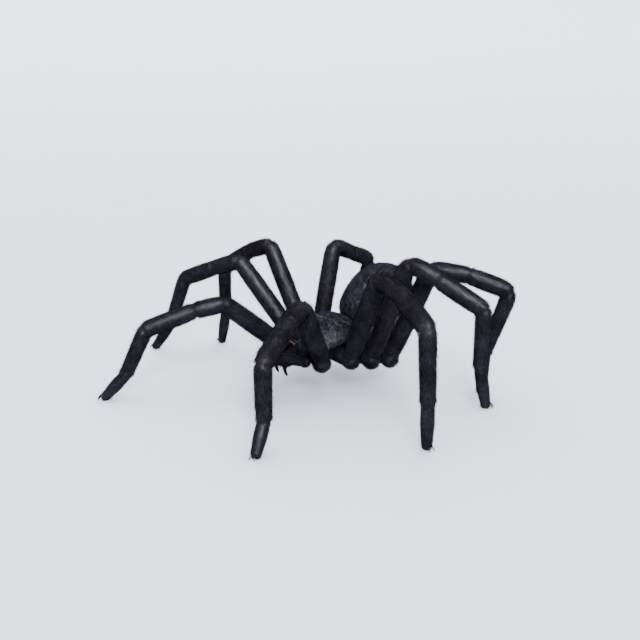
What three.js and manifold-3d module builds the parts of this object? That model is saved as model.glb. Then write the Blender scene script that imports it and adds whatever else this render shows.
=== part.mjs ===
// A life-size tarantula that stands still on its eight feet.
// Millimetres, +Z up. The head faces -Y, the animal's left side is +X and the floor is z = 0.
import * as THREE from "three";
import { mergeVertices } from "three/addons/utils/BufferGeometryUtils.js";
import Module from "manifold-3d";

const wasm = await Module();
wasm.setup();

// ---------------------------------------------------------------------------
// Driving dimensions, all out to the tips of the coat
// ---------------------------------------------------------------------------

const GAP = 0.3; // between neighbouring parts
const WELD = 1e-4; // vertices closer than this are one
const BODY_AT = [8.8, 12.76, 0]; // moves the whole animal so that its box stands on the origin

const LIMB_SIDES = 10;
const BEND_RADIUS = 3.5; // centre line of a knee or ankle
const TROCHANTER_RADIUS = 3.5;
const TROCHANTER_DROP = 0.9; // how far its middle lies under the femur's own line
const COXA_WIDTH_INNER = 2.6; // half of its front-to-back size where it meets the trunk
const COXA_DROP = 0.4; // how far a coxa's top stays under the carapace

const FEMUR_RADIUS = 3.4;
const SHIN_RADIUS = 3.15; // patella and tibia
const METATARSUS_RADIUS = 2.8;
const TARSUS_RADIUS = 2.15;
const PAD_RADIUS = 1.6; // the round toe
const SOLE_DEPTH = 0.3; // how much of the toe the floor cuts off

const CLAW = { out: 2.9, spread: 0.85, root: 0.45, mid: 0.36, tip: 0.27 };

// Hips (where the femurs start) on the left, inner ends of the coxae, and the lengths of
// femur, patella, tibia and metatarsus. The tarsus reaches from there to the floor.
const LEGS = {
  1: { hip: [11, -13.3, 14.8], root: [4.6, -9.6], floor: 11.8, lengths: [28.7, 10.9, 19, 18.3] },
  2: { hip: [16.3, -3.7, 15.1], root: [5.9, -3.5], floor: 12, lengths: [37.5, 12.2, 16.9, 23.2] },
  3: { hip: [18.9, 4.1, 13.9], root: [5.9, 2.6], floor: 12.3, lengths: [39.3, 11.9, 18.7, 21] },
  4: { hip: [20.1, 13, 12.6], root: [5, 8.3], floor: 12.6, lengths: [36.9, 13.2, 16.3, 24.3] },
};

// Degrees. The heading is seen from above, 0 straight out and -90 straight ahead, and each
// segment has its slope above the level.
const LEG_POSES = {
  left: {
    1: { heading: -65.5, slopes: [56.5, -12, -25, -90.5, -57.5] },
    2: { heading: -13.5, slopes: [62, -9.5, -27, -85.5, -88] },
    3: { heading: 30, slopes: [71, -29, -30, -90, -78.5] },
    4: { heading: 40, slopes: [68, -8, -19.5, -108, -92] },
  },
  right: {
    1: { heading: -63.5, slopes: [40, -9.5, -18, -64, -45] },
    2: { heading: -23.5, slopes: [50, -18, -21.5, -67.5, -52] },
    3: { heading: -10, slopes: [62.5, -18.5, -29, -89.5, -76.5] },
    4: { heading: 79, slopes: [74.5, -22.5, -19.5, -119.5, -94] },
  },
};

// Joints of the palps from the hip to the tip: hip, knee, two bends and the tip.
const PALP = {
  root: [3, -14.9],
  trochanter: 2.1,
  knee: 0.37, // share of the palp's length where its femur ends
  radii: { femur: 2.05, shin: 2.0, tip: 1.5 },
  joints: {
    left: [
      [7.5, -18.1, 14.5],
      [7.6, -28.6, 18.7],
      [8.3, -36.4, 18.2],
      [9.2, -39.6, 9.8],
      [9.5, -40.6, 2],
    ],
    right: [
      [-7.5, -18.1, 14.5],
      [-6.3, -25.8, 16.8],
      [-1.2, -30.2, 15],
      [0.9, -31.9, 8.6],
      [1.3, -32.4, 2],
    ],
  },
};

// The front half of the body is pitched nose-down about its middle.
const PROSOMA = { at: [0, -4.5, 19.5], pitch: 16 };
const CARAPACE = { length: 28, width: 25, height: 7.8, rim: 0.7, sides: 28 };
const CAPUT = { rise: 0.6, halfWidth: 4.6 };
const FOVEA = { y: 3.2, depth: 1.3, halfWidth: 2.0, halfLength: 1.1 };

const TUBERCLE = { at: [0, -12.6, 3.9], halfSizes: [2.4, 1.6, 1.35] };
// Places as shares of the tubercle's half sizes.
const EYES = {
  front_middle: { across: 0.3, ahead: 0.46, radius: 0.42 },
  front_outer: { across: 0.76, ahead: 0.46, radius: 0.44 },
  rear_outer: { across: 0.8, ahead: -0.3, radius: 0.36 },
  rear_middle: { across: 0.44, ahead: -0.34, radius: 0.28 },
};
const EYE_SINK = 0.4; // share of its radius that an eye's centre lies under the tubercle
const SOCKET_GAP = 0.05;

const STERNUM = { y: -2.5, halfWidth: 5, halfLength: 10.4, front: 11.9, slope: 0.07 };
const LABIUM = { y: -14.8, halfWidth: 1.25, halfLength: 2.9 };

const CHELICERA = { x: 2.5, y: -19, z: 16.2, length: 6.2, slope: -14, high: 2.8, wide: 2.15 };
// A fang springs from under its jaw, a little behind the jaw's end: its seat is a share of
// the jaw's half height. Start and end are the slopes of its two ends.
const FANG = { inset: 1.4, seat: 0.62, root: 0.8, tip: 0.28, length: 4.4, start: -88, end: -128 };

const ABDOMEN = {
  at: [0, 25.4, 30],
  halfSizes: [12.5, 17, 11.2],
  pitch: 21,
  egg: 0.1, // how much fatter the rear half is
};
const PEDICEL = { from: [4, 18], to: [18, 22.5], radius: 2 };
const SPINNERET = { x: 2.1, y: 37.4, z: 29.6, slope: -12, heading: 78, length: 8.2, radius: 1.25 };

// ---------------------------------------------------------------------------
// Materials
// ---------------------------------------------------------------------------

const finish = (color, roughness) =>
  new THREE.MeshStandardMaterial({ color, roughness, metalness: 0 });
const COAT = finish(0x24252c, 0.55);
const SHELL = finish(0x2c2d36, 0.4);
const HORN = finish(0x120d0c, 0.25);
const EYE = finish(0x7c6b59, 0.05);

// ---------------------------------------------------------------------------
// Small tools
// ---------------------------------------------------------------------------

const radians = THREE.MathUtils.degToRad;
const SIDES = { left: 1, right: -1 };

// Seen from above, the turn of a limb whose heading is given for the left side.
const turnOf = (side, heading) => radians(side === "left" ? heading : 180 - heading);

function bare(geometry) {
  const copy = geometry.clone();
  copy.deleteAttribute("normal");
  copy.deleteAttribute("uv");
  return mergeVertices(copy, WELD);
}

function solid(geometry) {
  const welded = bare(geometry);
  const mesh = new wasm.Mesh({
    numProp: 3,
    vertProperties: new Float32Array(welded.attributes.position.array),
    triVerts: new Uint32Array(welded.index.array),
  });
  return new wasm.Manifold(mesh);
}

function geometryOf(body) {
  const { vertProperties, triVerts } = body.getMesh();
  const geometry = new THREE.BufferGeometry();
  geometry.setAttribute("position", new THREE.BufferAttribute(vertProperties, 3));
  geometry.setIndex(new THREE.BufferAttribute(triVerts, 1));
  geometry.computeVertexNormals();
  return geometry;
}

// Moves every vertex of a geometry to where the rule sends it.
function reshape(geometry, rule) {
  const { position } = geometry.attributes;
  const vertex = new THREE.Vector3();
  for (let i = 0; i < position.count; i++) {
    vertex.fromBufferAttribute(position, i);
    rule(vertex);
    position.setXYZ(i, vertex.x, vertex.y, vertex.z);
  }
  return geometry;
}

// A closed tube in the upright plane y = 0. Each station has its centre x and z, its slope
// (radians) and the half height and half width of its oval ring.
function tube(stations, sides = LIMB_SIDES) {
  const last = stations.length - 1;
  return reshape(new THREE.CylinderGeometry(1, 1, 1, sides, last), (v) => {
    const ring = stations[Math.round((0.5 - v.y) * last)];
    const lift = v.x * ring.high;
    v.set(
      ring.x - lift * Math.sin(ring.slope),
      -v.z * ring.wide,
      ring.z + lift * Math.cos(ring.slope),
    );
  });
}

function ball(halfSizes, across = 10, down = 6) {
  return new THREE.SphereGeometry(1, across, down).rotateX(Math.PI / 2).scale(...halfSizes);
}

function part(name, geometry, material) {
  const mesh = new THREE.Mesh(bare(geometry), material);
  mesh.geometry.computeVertexNormals();
  mesh.name = name;
  return mesh;
}

// ---------------------------------------------------------------------------
// A limb's centre line
// ---------------------------------------------------------------------------

// The centre line in the limb's upright plane: straight segments joined by round bends.
// joints[k] is the distance along it to the middle of the bend after segment k.
class CentreLine {
  constructor(startZ, lengths, slopes, bend) {
    this.pieces = [];
    this.joints = [];
    this.length = 0;
    let point = new THREE.Vector2(0, startZ);
    let used = 0;
    lengths.forEach((length, k) => {
      const slope = radians(slopes[k]);
      const turn = k + 1 < slopes.length ? radians(slopes[k + 1]) - slope : 0;
      const trim = bend * Math.tan(Math.abs(turn) / 2);
      point = this.add(point, length - used - trim, slope, 0);
      const arc = bend * Math.abs(turn);
      this.joints.push(this.length + arc / 2);
      if (turn !== 0) {
        point = this.add(point, arc, slope, turn / arc);
      }
      used = trim;
    });
  }

  add(point, length, slope, curvature) {
    const piece = { from: this.length, point, slope, curvature };
    this.pieces.push(piece);
    this.length += length;
    const end = this.at(this.length);
    return new THREE.Vector2(end.x, end.z);
  }

  at(distance) {
    const piece = this.pieces.findLast((p) => p.from <= distance) ?? this.pieces[0];
    const run = distance - piece.from;
    const slope = piece.slope + piece.curvature * run;
    if (piece.curvature === 0) {
      return {
        x: piece.point.x + run * Math.cos(slope),
        z: piece.point.y + run * Math.sin(slope),
        slope,
      };
    }
    return {
      x: piece.point.x + (Math.sin(slope) - Math.sin(piece.slope)) / piece.curvature,
      z: piece.point.y - (Math.cos(slope) - Math.cos(piece.slope)) / piece.curvature,
      slope,
    };
  }

  // Rings at the given distances, each with its radius.
  rings(distances, radiusAt) {
    return distances.map((distance) => {
      const radius = radiusAt(distance);
      return { ...this.at(distance), high: radius, wide: radius };
    });
  }
}

// Distances from one joint to the next, closer together where the limb bends.
function spread(from, to, steps = 3) {
  const bend = 2.2;
  const inner = Array.from({ length: steps }, (_, i) => {
    return from + bend + ((to - from - 2 * bend) * i) / (steps - 1);
  });
  return [from, ...inner, to];
}

// A segment is fullest between its joints.
function swell(radius, from, to) {
  return (distance) => {
    const share = THREE.MathUtils.clamp((distance - from) / (to - from), 0, 1);
    return radius * (0.92 + 0.1 * Math.sin(Math.PI * share) ** 0.7);
  };
}

// ---------------------------------------------------------------------------
// Legs
// ---------------------------------------------------------------------------

// The height of the carapace's flat underside over the floor, at a place along the body.
const underCarapace = (y) =>
  PROSOMA.at[2] + (y - PROSOMA.at[1]) * Math.tan(radians(PROSOMA.pitch));

// Coxa and trochanter, with the hip at the origin and the coxa lying along -X.
function coxaSolid(length, inner, hipZ, radius, innerWidth, extra) {
  const slope = Math.atan2(hipZ - inner.z, length);
  const coxa = [0, 0.4, 0.75].map((share) => ({
    x: -length * (1 - share),
    z: inner.z + (hipZ - inner.z) * share,
    slope,
    high: THREE.MathUtils.lerp(inner.high, radius * 0.88, share) + extra,
    wide: THREE.MathUtils.lerp(innerWidth, radius * 0.88, share) + extra,
  }));
  const size = radius + extra;
  const trochanter = [0, 35, 68].map((angle) => ({
    x: size * Math.sin(radians(angle)) * Math.cos(slope),
    z: hipZ + size * Math.sin(radians(angle)) * Math.sin(slope),
    slope,
    high: size * Math.cos(radians(angle)),
    wide: size * Math.cos(radians(angle)),
  }));
  return solid(tube([...coxa, ...trochanter]));
}

// The length of the last segment puts the toe's centre just over the floor.
function standingLengths(hipZ, lengths, slopes) {
  const rise = (height, length, k) => height + length * Math.sin(radians(slopes[k]));
  const above = lengths.reduce(rise, hipZ);
  const toe = PAD_RADIUS - SOLE_DEPTH;
  return [...lengths, (toe - above) / Math.sin(radians(slopes[lengths.length]))];
}

// Two small hooked claws in front of the toe.
function claws(toe) {
  return [-1, 1].map((way) => {
    const hook = [
      { x: 0.5, z: 1.7, slope: radians(-20), high: CLAW.root, wide: CLAW.root },
      { x: 0.62 * CLAW.out, z: 1.45, slope: radians(-30), high: CLAW.mid, wide: CLAW.mid },
      { x: CLAW.out, z: 0.45, slope: radians(-62), high: CLAW.tip, wide: CLAW.tip },
    ];
    const geometry = reshape(tube(hook, 5), (v) => {
      v.y += (way * CLAW.spread * (v.x + 1)) / (CLAW.out + 1);
    });
    return solid(geometry.translate(toe.x, 0, 0));
  });
}

function footGeometry(line) {
  const [, , ankle, toeJoint] = line.joints;
  const start = ankle + GAP / 2;
  const stations = [
    [start, 0.94 * METATARSUS_RADIUS],
    [start + 2.2, METATARSUS_RADIUS],
    [toeJoint - 1.6, 0.9 * METATARSUS_RADIUS],
    [toeJoint - 0.3, 0.97 * METATARSUS_RADIUS],
    [toeJoint + 0.9, TARSUS_RADIUS],
    [(toeJoint + line.length) / 2, 1.04 * TARSUS_RADIUS],
    [line.length, 1.08 * PAD_RADIUS],
    [line.length + 0.75 * PAD_RADIUS, 0.68 * PAD_RADIUS],
    [line.length + PAD_RADIUS, 0.2 * PAD_RADIUS],
  ];
  const radii = new Map(stations);
  return tube(line.rings([...radii.keys()], (distance) => radii.get(distance)));
}

const floorBlock = solid(new THREE.BoxGeometry(400, 400, 40).translate(0, 0, -20));

function leg(side, number) {
  const { hip, root, floor, lengths } = LEGS[number];
  const { heading, slopes } = LEG_POSES[side][number];
  const name = `leg_${side}_${number}`;
  const hipZ = hip[2];

  const group = new THREE.Group();
  group.position.set(SIDES[side] * hip[0], hip[1], 0);
  const across = new THREE.Vector2(hip[0] - root[0], hip[1] - root[1]);
  const coxaTurn = turnOf(side, THREE.MathUtils.radToDeg(across.angle()));
  const legTurn = turnOf(side, heading);

  const top = underCarapace(root[1]) - COXA_DROP;
  const inner = { z: (top + floor) / 2, high: (top - floor) / 2 };
  const trochanterZ = hipZ - TROCHANTER_DROP;
  const coxaArgs = [across.length(), inner, trochanterZ, TROCHANTER_RADIUS, COXA_WIDTH_INNER];
  const coxa = part(`${name}_coxa`, geometryOf(coxaSolid(...coxaArgs, 0)), COAT);
  coxa.rotation.z = coxaTurn;
  const room = geometryOf(coxaSolid(...coxaArgs, GAP)).rotateZ(coxaTurn - legTurn);

  const standing = standingLengths(hipZ, lengths, slopes);
  const line = new CentreLine(hipZ, standing, slopes, BEND_RADIUS);
  const [knee, , ankle] = line.joints;
  const femurEnd = knee - GAP / 2;
  const shinStart = knee + GAP / 2;
  const shinEnd = ankle - GAP / 2;
  const femur = tube(
    line.rings([0, ...spread(3, femurEnd).slice(1)], swell(FEMUR_RADIUS, 3, femurEnd)),
  );
  const patellaEnd = line.joints[1];
  const shin = tube(
    line.rings(
      [...spread(shinStart, patellaEnd, 2), ...spread(patellaEnd, shinEnd).slice(1)],
      (distance) =>
        distance < patellaEnd
          ? swell(SHIN_RADIUS, shinStart, patellaEnd)(distance)
          : swell(SHIN_RADIUS, patellaEnd, shinEnd)(distance),
    ),
  );
  const toe = line.at(line.length);
  const [claw, otherClaw] = claws(toe);
  const foot = solid(footGeometry(line)).add(claw).add(otherClaw).subtract(floorBlock);

  const plane = new THREE.Group();
  plane.rotation.z = legTurn;
  plane.add(
    part(`${name}_femur`, geometryOf(solid(femur).subtract(solid(room))), COAT),
    part(`${name}_tibia`, shin, COAT),
    part(`${name}_foot`, geometryOf(foot), COAT),
  );
  group.add(coxa, plane);
  return group;
}

// ---------------------------------------------------------------------------
// Palps
// ---------------------------------------------------------------------------

// A closed round tube along a curve. Each station is a share of its length and a radius.
function tubeAlong(curve, stations, sides = 8) {
  const last = stations.length - 1;
  const rings = stations.map(([share, radius]) => {
    const along = curve.getTangentAt(share);
    const across = new THREE.Vector3(1, 0, 0).addScaledVector(along, -along.x).normalize();
    const over = new THREE.Vector3().crossVectors(along, across);
    return { centre: curve.getPointAt(share), radius, across, over };
  });
  return reshape(new THREE.CylinderGeometry(1, 1, 1, sides, last), (v) => {
    const { centre, radius, across, over } = rings[Math.round((0.5 - v.y) * last)];
    const { x, z } = v;
    v.copy(centre).addScaledVector(across, x * radius).addScaledVector(over, z * radius);
  });
}

function palp(side) {
  const { root, trochanter, knee, radii, joints } = PALP;
  const points = joints[side].map((point) => new THREE.Vector3(...point));
  const curve = new THREE.CatmullRomCurve3(points);
  const [hip] = points;
  const name = `palp_${side}`;

  const across = new THREE.Vector2(Math.abs(hip.x) - root[0], hip.y - root[1]);
  const inner = { z: hip.z - 0.6, high: 2 };
  const place = (extra) => {
    const body = geometryOf(coxaSolid(across.length(), inner, hip.z, trochanter, 1.8, extra));
    body.rotateZ(turnOf(side, THREE.MathUtils.radToDeg(across.angle())));
    return body.translate(hip.x, hip.y, 0);
  };
  const half = GAP / 2 / curve.getLength();
  const femur = tubeAlong(curve, [
    [0, 0.9 * radii.femur],
    [0.16, radii.femur],
    [0.28, 0.98 * radii.femur],
    [knee - half, 0.9 * radii.femur],
  ]);
  const tip = tubeAlong(curve, [
    [knee + half, 0.92 * radii.shin],
    [0.43, radii.shin],
    [0.5, 0.98 * radii.shin],
    [0.57, 0.92 * radii.shin],
    [0.64, radii.shin],
    [0.75, 0.97 * radii.shin],
    [0.81, 0.86 * radii.shin],
    [0.94, radii.tip],
    [0.98, 0.8 * radii.tip],
    [1, 0.3 * radii.tip],
  ]);
  const group = new THREE.Group();
  group.add(
    part(`${name}_coxa`, place(0), COAT),
    part(`${name}_femur`, geometryOf(solid(femur).subtract(solid(place(GAP)))), COAT),
    part(`${name}_tip`, tip, COAT),
  );
  return group;
}

// ---------------------------------------------------------------------------
// Carapace and eyes, in the pitched frame of the front body
// ---------------------------------------------------------------------------

// Turns a circle's coordinate into that of a fuller, squarer outline.
const squarish = (value) => Math.sign(value) * Math.abs(value) ** 0.84;

// Height of the carapace over its rim, at a share of the way out from its middle.
function domeHeight(share, x, y) {
  const ahead = Math.max(0, -y / (CARAPACE.length / 2));
  const power = 2.3 + 1.9 * ahead ** 2;
  const dome = Math.max(0, 1 - share ** power) ** 0.62;
  const caput = Math.exp(-((x / CAPUT.halfWidth) ** 2)) * THREE.MathUtils.smoothstep(-y, -3, 5);
  const pit =
    Math.exp(-((x / FOVEA.halfWidth) ** 2) - ((y - FOVEA.y) / FOVEA.halfLength) ** 2);
  return dome * (CARAPACE.height - CARAPACE.rim + CAPUT.rise * caput) - FOVEA.depth * pit;
}

function carapace() {
  const shares = [0.16, 0.36, 0.56, 0.74, 0.88, 0.97, 1, 1];
  const last = shares.length - 1;
  const shell = new THREE.CylinderGeometry(1, 1, 1, CARAPACE.sides, last);
  shell.rotateX(Math.PI / 2);
  reshape(shell, (v) => {
    const ring = Math.round((0.5 - v.z) * last);
    const share = shares[ring] * Math.hypot(v.x, v.y);
    const y = (shares[ring] * squarish(v.y) * CARAPACE.length) / 2;
    const narrowing = 1 - 0.24 * THREE.MathUtils.smoothstep(-y, -1, 12);
    const x = (shares[ring] * squarish(v.x) * CARAPACE.width * narrowing) / 2;
    v.set(x, y, ring === last ? 0 : CARAPACE.rim + domeHeight(share, x, y));
  });
  const tubercle = ball(TUBERCLE.halfSizes, 12, 6).translate(...TUBERCLE.at);
  let body = solid(shell).add(solid(tubercle));
  eyePlaces().forEach(({ at, radius }) => {
    const size = radius + SOCKET_GAP;
    body = body.subtract(solid(ball([size, size, size], 8, 4).translate(...at)));
  });
  return part("carapace", geometryOf(body), SHELL);
}

function eyePlaces() {
  return Object.entries(SIDES).flatMap(([side, way]) =>
    Object.entries(EYES).map(([place, { across, ahead, radius }]) => {
      const up = Math.sqrt(1 - across ** 2 - ahead ** 2);
      const outward = new THREE.Vector3(way * across, -ahead, up);
      const surface = outward.clone().multiply(new THREE.Vector3(...TUBERCLE.halfSizes));
      const at = surface
        .addScaledVector(outward, -EYE_SINK * radius)
        .add(new THREE.Vector3(...TUBERCLE.at));
      return { name: `eye_${side}_${place}`, at: at.toArray(), radius };
    }),
  );
}

function eye({ name, at, radius }) {
  const mesh = part(name, ball([radius, radius, radius], 8, 4), EYE);
  mesh.position.set(...at);
  return mesh;
}

function frontBody() {
  const group = new THREE.Group();
  group.position.set(...PROSOMA.at);
  group.rotation.x = radians(PROSOMA.pitch);
  group.add(carapace(), ...eyePlaces().map(eye));
  return group;
}

// ---------------------------------------------------------------------------
// Underside: sternum with the labium, between the coxae
// ---------------------------------------------------------------------------

// A flat-topped lump from the carapace's underside down to the sternum's plane.
function sternumLump(y, halfWidth, halfLength) {
  return reshape(ball([1, 1, 1], 12, 6), (v) => {
    const place = y + v.y * halfLength;
    const top = underCarapace(place) - GAP;
    const bottom = STERNUM.front + STERNUM.slope * (place - LABIUM.y);
    const squared = Math.sign(v.z) * Math.abs(v.z) ** 0.55;
    v.set(v.x * halfWidth, place, (top + bottom) / 2 + (squared * (top - bottom)) / 2);
  });
}

function sternumSolid() {
  const plate = solid(sternumLump(STERNUM.y, STERNUM.halfWidth, STERNUM.halfLength));
  const lip = solid(sternumLump(LABIUM.y, LABIUM.halfWidth, LABIUM.halfLength));
  return plate.add(lip);
}

// ---------------------------------------------------------------------------
// Jaws
// ---------------------------------------------------------------------------

function jaw(side) {
  const group = new THREE.Group();
  group.position.set(SIDES[side] * CHELICERA.x, CHELICERA.y, 0);
  group.rotation.z = radians(-90);
  const slope = radians(CHELICERA.slope);
  const profile = [
    [0, 0.9],
    [0.16, 0.99],
    [0.45, 1],
    [0.72, 0.88],
    [0.9, 0.66],
    [1, 0.38],
  ];
  const stations = profile.map(([share, size]) => ({
    x: CHELICERA.length * share * Math.cos(slope),
    z: CHELICERA.z + CHELICERA.length * share * Math.sin(slope),
    slope: slope * Math.min(1, 2 * share),
    high: CHELICERA.high * size,
    wide: CHELICERA.wide * Math.sqrt(size),
  }));
  const chelicera = tube(stations, 14);

  const last = stations.at(-1);
  const steps = 5;
  const arm = { x: last.x - FANG.inset, z: last.z - CHELICERA.high * FANG.seat };
  const fangStations = Array.from({ length: steps + 1 }, (_, i) => {
    const share = i / steps;
    const bend = radians(THREE.MathUtils.lerp(FANG.start, FANG.end, share));
    const size = THREE.MathUtils.lerp(FANG.root, FANG.tip, share);
    const station = { ...arm, slope: bend, high: size, wide: size };
    arm.x += (FANG.length / steps) * Math.cos(bend);
    arm.z += (FANG.length / steps) * Math.sin(bend);
    return station;
  });
  const room = tube(stations.map((s) => ({ ...s, high: s.high + GAP, wide: s.wide + GAP })), 14);
  const fang = solid(tube(fangStations, 7)).subtract(solid(room));
  group.add(part(`chelicera_${side}`, chelicera, COAT));
  group.add(part(`fang_${side}`, geometryOf(fang), HORN));
  return group;
}

// ---------------------------------------------------------------------------
// Hind body
// ---------------------------------------------------------------------------

function abdomenGeometry(extra) {
  const [wide, long, high] = ABDOMEN.halfSizes;
  const geometry = reshape(ball([1, 1, 1], 22, 12), (v) => {
    const fat = 1 + ABDOMEN.egg * v.y * (1 - v.y * v.y) * 2;
    v.set(v.x * (wide * fat + extra), v.y * (long + extra), v.z * (high * fat + extra));
  });
  return geometry.rotateX(radians(ABDOMEN.pitch)).translate(...ABDOMEN.at);
}

function pedicel() {
  const [fromY, fromZ] = PEDICEL.from;
  const [toY, toZ] = PEDICEL.to;
  const slope = Math.atan2(toZ - fromZ, toY - fromY);
  const ring = { slope, high: PEDICEL.radius, wide: PEDICEL.radius };
  const rod = tube([{ ...ring, x: fromY, z: fromZ }, { ...ring, x: toY, z: toZ }], 12);
  rod.rotateZ(radians(90));
  const room = sternumSolid().add(sternumSolid().translate([0, GAP, 0]));
  return solid(rod).subtract(room).subtract(solid(abdomenGeometry(GAP)));
}

function spinneret(side) {
  const { slope, heading, length, radius } = SPINNERET;
  const profile = [
    [0, 1],
    [0.5, 1],
    [0.62, 0.86],
    [0.8, 0.8],
    [0.95, 0.55],
    [1, 0.25],
  ];
  const angle = radians(slope);
  const stations = profile.map(([share, size]) => ({
    x: length * share * Math.cos(angle),
    z: length * share * Math.sin(angle),
    slope: angle,
    high: radius * size,
    wide: radius * size,
  }));
  const finger = tube(stations, 7).rotateZ(turnOf(side, heading));
  finger.translate(SIDES[side] * SPINNERET.x, SPINNERET.y, SPINNERET.z);
  return geometryOf(solid(finger).subtract(solid(abdomenGeometry(GAP))));
}

// ---------------------------------------------------------------------------
// The whole animal
// ---------------------------------------------------------------------------

const tarantula = new THREE.Group();
tarantula.position.set(...BODY_AT);
tarantula.add(frontBody());
tarantula.add(part("sternum", geometryOf(sternumSolid()), SHELL));
tarantula.add(part("pedicel", geometryOf(pedicel()), COAT));
tarantula.add(part("abdomen", abdomenGeometry(0), COAT));
Object.keys(SIDES).forEach((side) => {
  tarantula.add(jaw(side));
  tarantula.add(palp(side));
  Object.keys(LEGS).forEach((number) => tarantula.add(leg(side, number)));
  tarantula.add(part(`spinneret_${side}`, spinneret(side), COAT));
});

export default tarantula;
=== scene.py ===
"""A life-size black tarantula that stands still on its eight feet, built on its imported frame.

Lengths in the tables are millimetres, out to the tips of the coat. The head faces -Y, the
animal's left side is +X and the floor is z = 0. A surface is a function that sends u, the
share of the way round, and v, the share of the way along, to points.
"""

import math

import bpy
import numpy as np
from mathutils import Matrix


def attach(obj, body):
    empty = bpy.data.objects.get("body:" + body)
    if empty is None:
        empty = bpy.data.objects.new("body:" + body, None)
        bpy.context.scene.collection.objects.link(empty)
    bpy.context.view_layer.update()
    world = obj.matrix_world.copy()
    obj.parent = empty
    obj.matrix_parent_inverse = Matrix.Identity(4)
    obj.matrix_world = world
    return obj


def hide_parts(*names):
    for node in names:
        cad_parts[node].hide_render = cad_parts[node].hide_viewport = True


bl_info = {
    "name": "Tarantula",
    "version": (1, 0, 0),
    "blender": (4, 5, 0),
    "location": "3D View > Sidebar > Tarantula",
    "description": "Builds the skin, shell, eyes, jaws and coat of a standing tarantula",
    "category": "Add Mesh",
}

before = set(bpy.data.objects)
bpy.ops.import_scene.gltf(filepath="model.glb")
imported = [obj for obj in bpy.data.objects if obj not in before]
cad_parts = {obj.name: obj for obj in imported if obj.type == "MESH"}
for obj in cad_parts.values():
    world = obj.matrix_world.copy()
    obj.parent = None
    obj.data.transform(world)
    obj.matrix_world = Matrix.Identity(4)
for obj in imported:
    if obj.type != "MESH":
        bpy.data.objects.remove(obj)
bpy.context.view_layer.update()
MM = 0.001

# --- Sizes of the solids that the pieces follow ---

BODY_AT = np.array([8.8, 12.76, 0.0])  # where the body's own origin lies in the frame
UP = np.array([0, 0, 1.0])
SIDES = {"left": 1, "right": -1}
POLE = 0.995  # share of a round end's radius at which its last ring lies

BEND_RADIUS = 3.5  # of the centre line at a knee or ankle
TROCHANTER_RADIUS = 3.5
TROCHANTER_DROP = 0.9  # how far its middle lies under the femur's own line
COXA_HALF_WIDTH = 2.6  # where it meets the trunk
COXA_DROP = 0.4  # how far its top stays under the carapace
COXA_INSET = 3.2  # how much deeper than the solid's the skin's inner end lies
FEMUR_RADIUS = 3.4
SHIN_RADIUS = 3.15  # patella and tibia
METATARSUS_RADIUS = 2.8
TARSUS_RADIUS = 2.15
PAD_RADIUS = 1.6  # the toe's round solid
TOE_RADIUS = 1.08 * PAD_RADIUS
SOLE_DEPTH = 0.3  # how much of the toe the floor cuts off

# Hips (where the femurs start) on the left, inner ends of the coxae, heights of the coxae's
# undersides, and the lengths of femur, patella, tibia and metatarsus.
LEGS = {
    1: {"hip": (11, -13.3, 14.8), "root": (4.6, -9.6), "floor": 11.8,
        "lengths": (28.7, 10.9, 19, 18.3)},
    2: {"hip": (16.3, -3.7, 15.1), "root": (5.9, -3.5), "floor": 12,
        "lengths": (37.5, 12.2, 16.9, 23.2)},
    3: {"hip": (18.9, 4.1, 13.9), "root": (5.9, 2.6), "floor": 12.3,
        "lengths": (39.3, 11.9, 18.7, 21)},
    4: {"hip": (20.1, 13, 12.6), "root": (5, 8.3), "floor": 12.6,
        "lengths": (36.9, 13.2, 16.3, 24.3)},
}

# Degrees: the heading seen from above, and the slopes of femur, patella, tibia,
# metatarsus and tarsus.
LEG_POSES = {
    "left": {
        1: (-65.5, (56.5, -12, -25, -90.5, -57.5)),
        2: (-13.5, (62, -9.5, -27, -85.5, -88)),
        3: (30, (71, -29, -30, -90, -78.5)),
        4: (40, (68, -8, -19.5, -108, -92)),
    },
    "right": {
        1: (-63.5, (40, -9.5, -18, -64, -45)),
        2: (-23.5, (50, -18, -21.5, -67.5, -52)),
        3: (-10, (62.5, -18.5, -29, -89.5, -76.5)),
        4: (79, (74.5, -22.5, -19.5, -119.5, -94)),
    },
}

# Radii of the palps, the inner ends of their coxae on the left, and the joints from the hip
# to the tip. Creases lie at shares of a palp's length.
PALP = {"trochanter": 2.1, "femur": 2.05, "shin": 2.0, "tip": 1.5}
PALP_COXA = {"root": (2, -14.3), "drop": 0.6, "half_height": 2, "half_width": 1.8}
PALP_CREASES = (0.37, 0.57, 0.81)
PALP_JOINTS = {
    "left": [(7.5, -18.1, 14.5), (7.6, -28.6, 18.7), (8.3, -36.4, 18.2), (9.2, -39.6, 9.8),
             (9.5, -40.6, 2)],
    "right": [(-7.5, -18.1, 14.5), (-6.3, -25.8, 16.8), (-1.2, -30.2, 15), (0.9, -31.9, 8.6),
              (1.3, -32.4, 2)],
}

# The front half of the body is pitched nose-down about its middle.
PROSOMA_AT = np.array([0, -4.5, 19.5])
PROSOMA_PITCH = math.radians(16)
CARAPACE = {"length": 28, "width": 25, "height": 7.8, "rim": 0.7}
RIM_V, EDGE_V = 0.86, 0.93  # shares along its surface where its top ends and its edge ends
CAPUT = {"rise": 0.6, "half_width": 4.6}
FOVEA = {"y": 3.2, "depth": 1.3, "half_width": 2.0, "half_length": 1.1}
# Grooves on the carapace's left: start, end, width and depth. The first parts the head from
# the thorax, and the others run out between the legs.
GROOVES = [
    ((1.0, 2.2), (6.2, -8.5), 0.75, 0.55),
    *(((1.6, 3.2), end, 0.7, 0.3) for end in ((12, -3.2), (13, 2.6), (10.5, 8.8), (4.8, 13))),
]
TUBERCLE_AT = np.array([0, -12.6, 3.9])
TUBERCLE_HALF = np.array([2.4, 1.6, 1.35])
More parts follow.
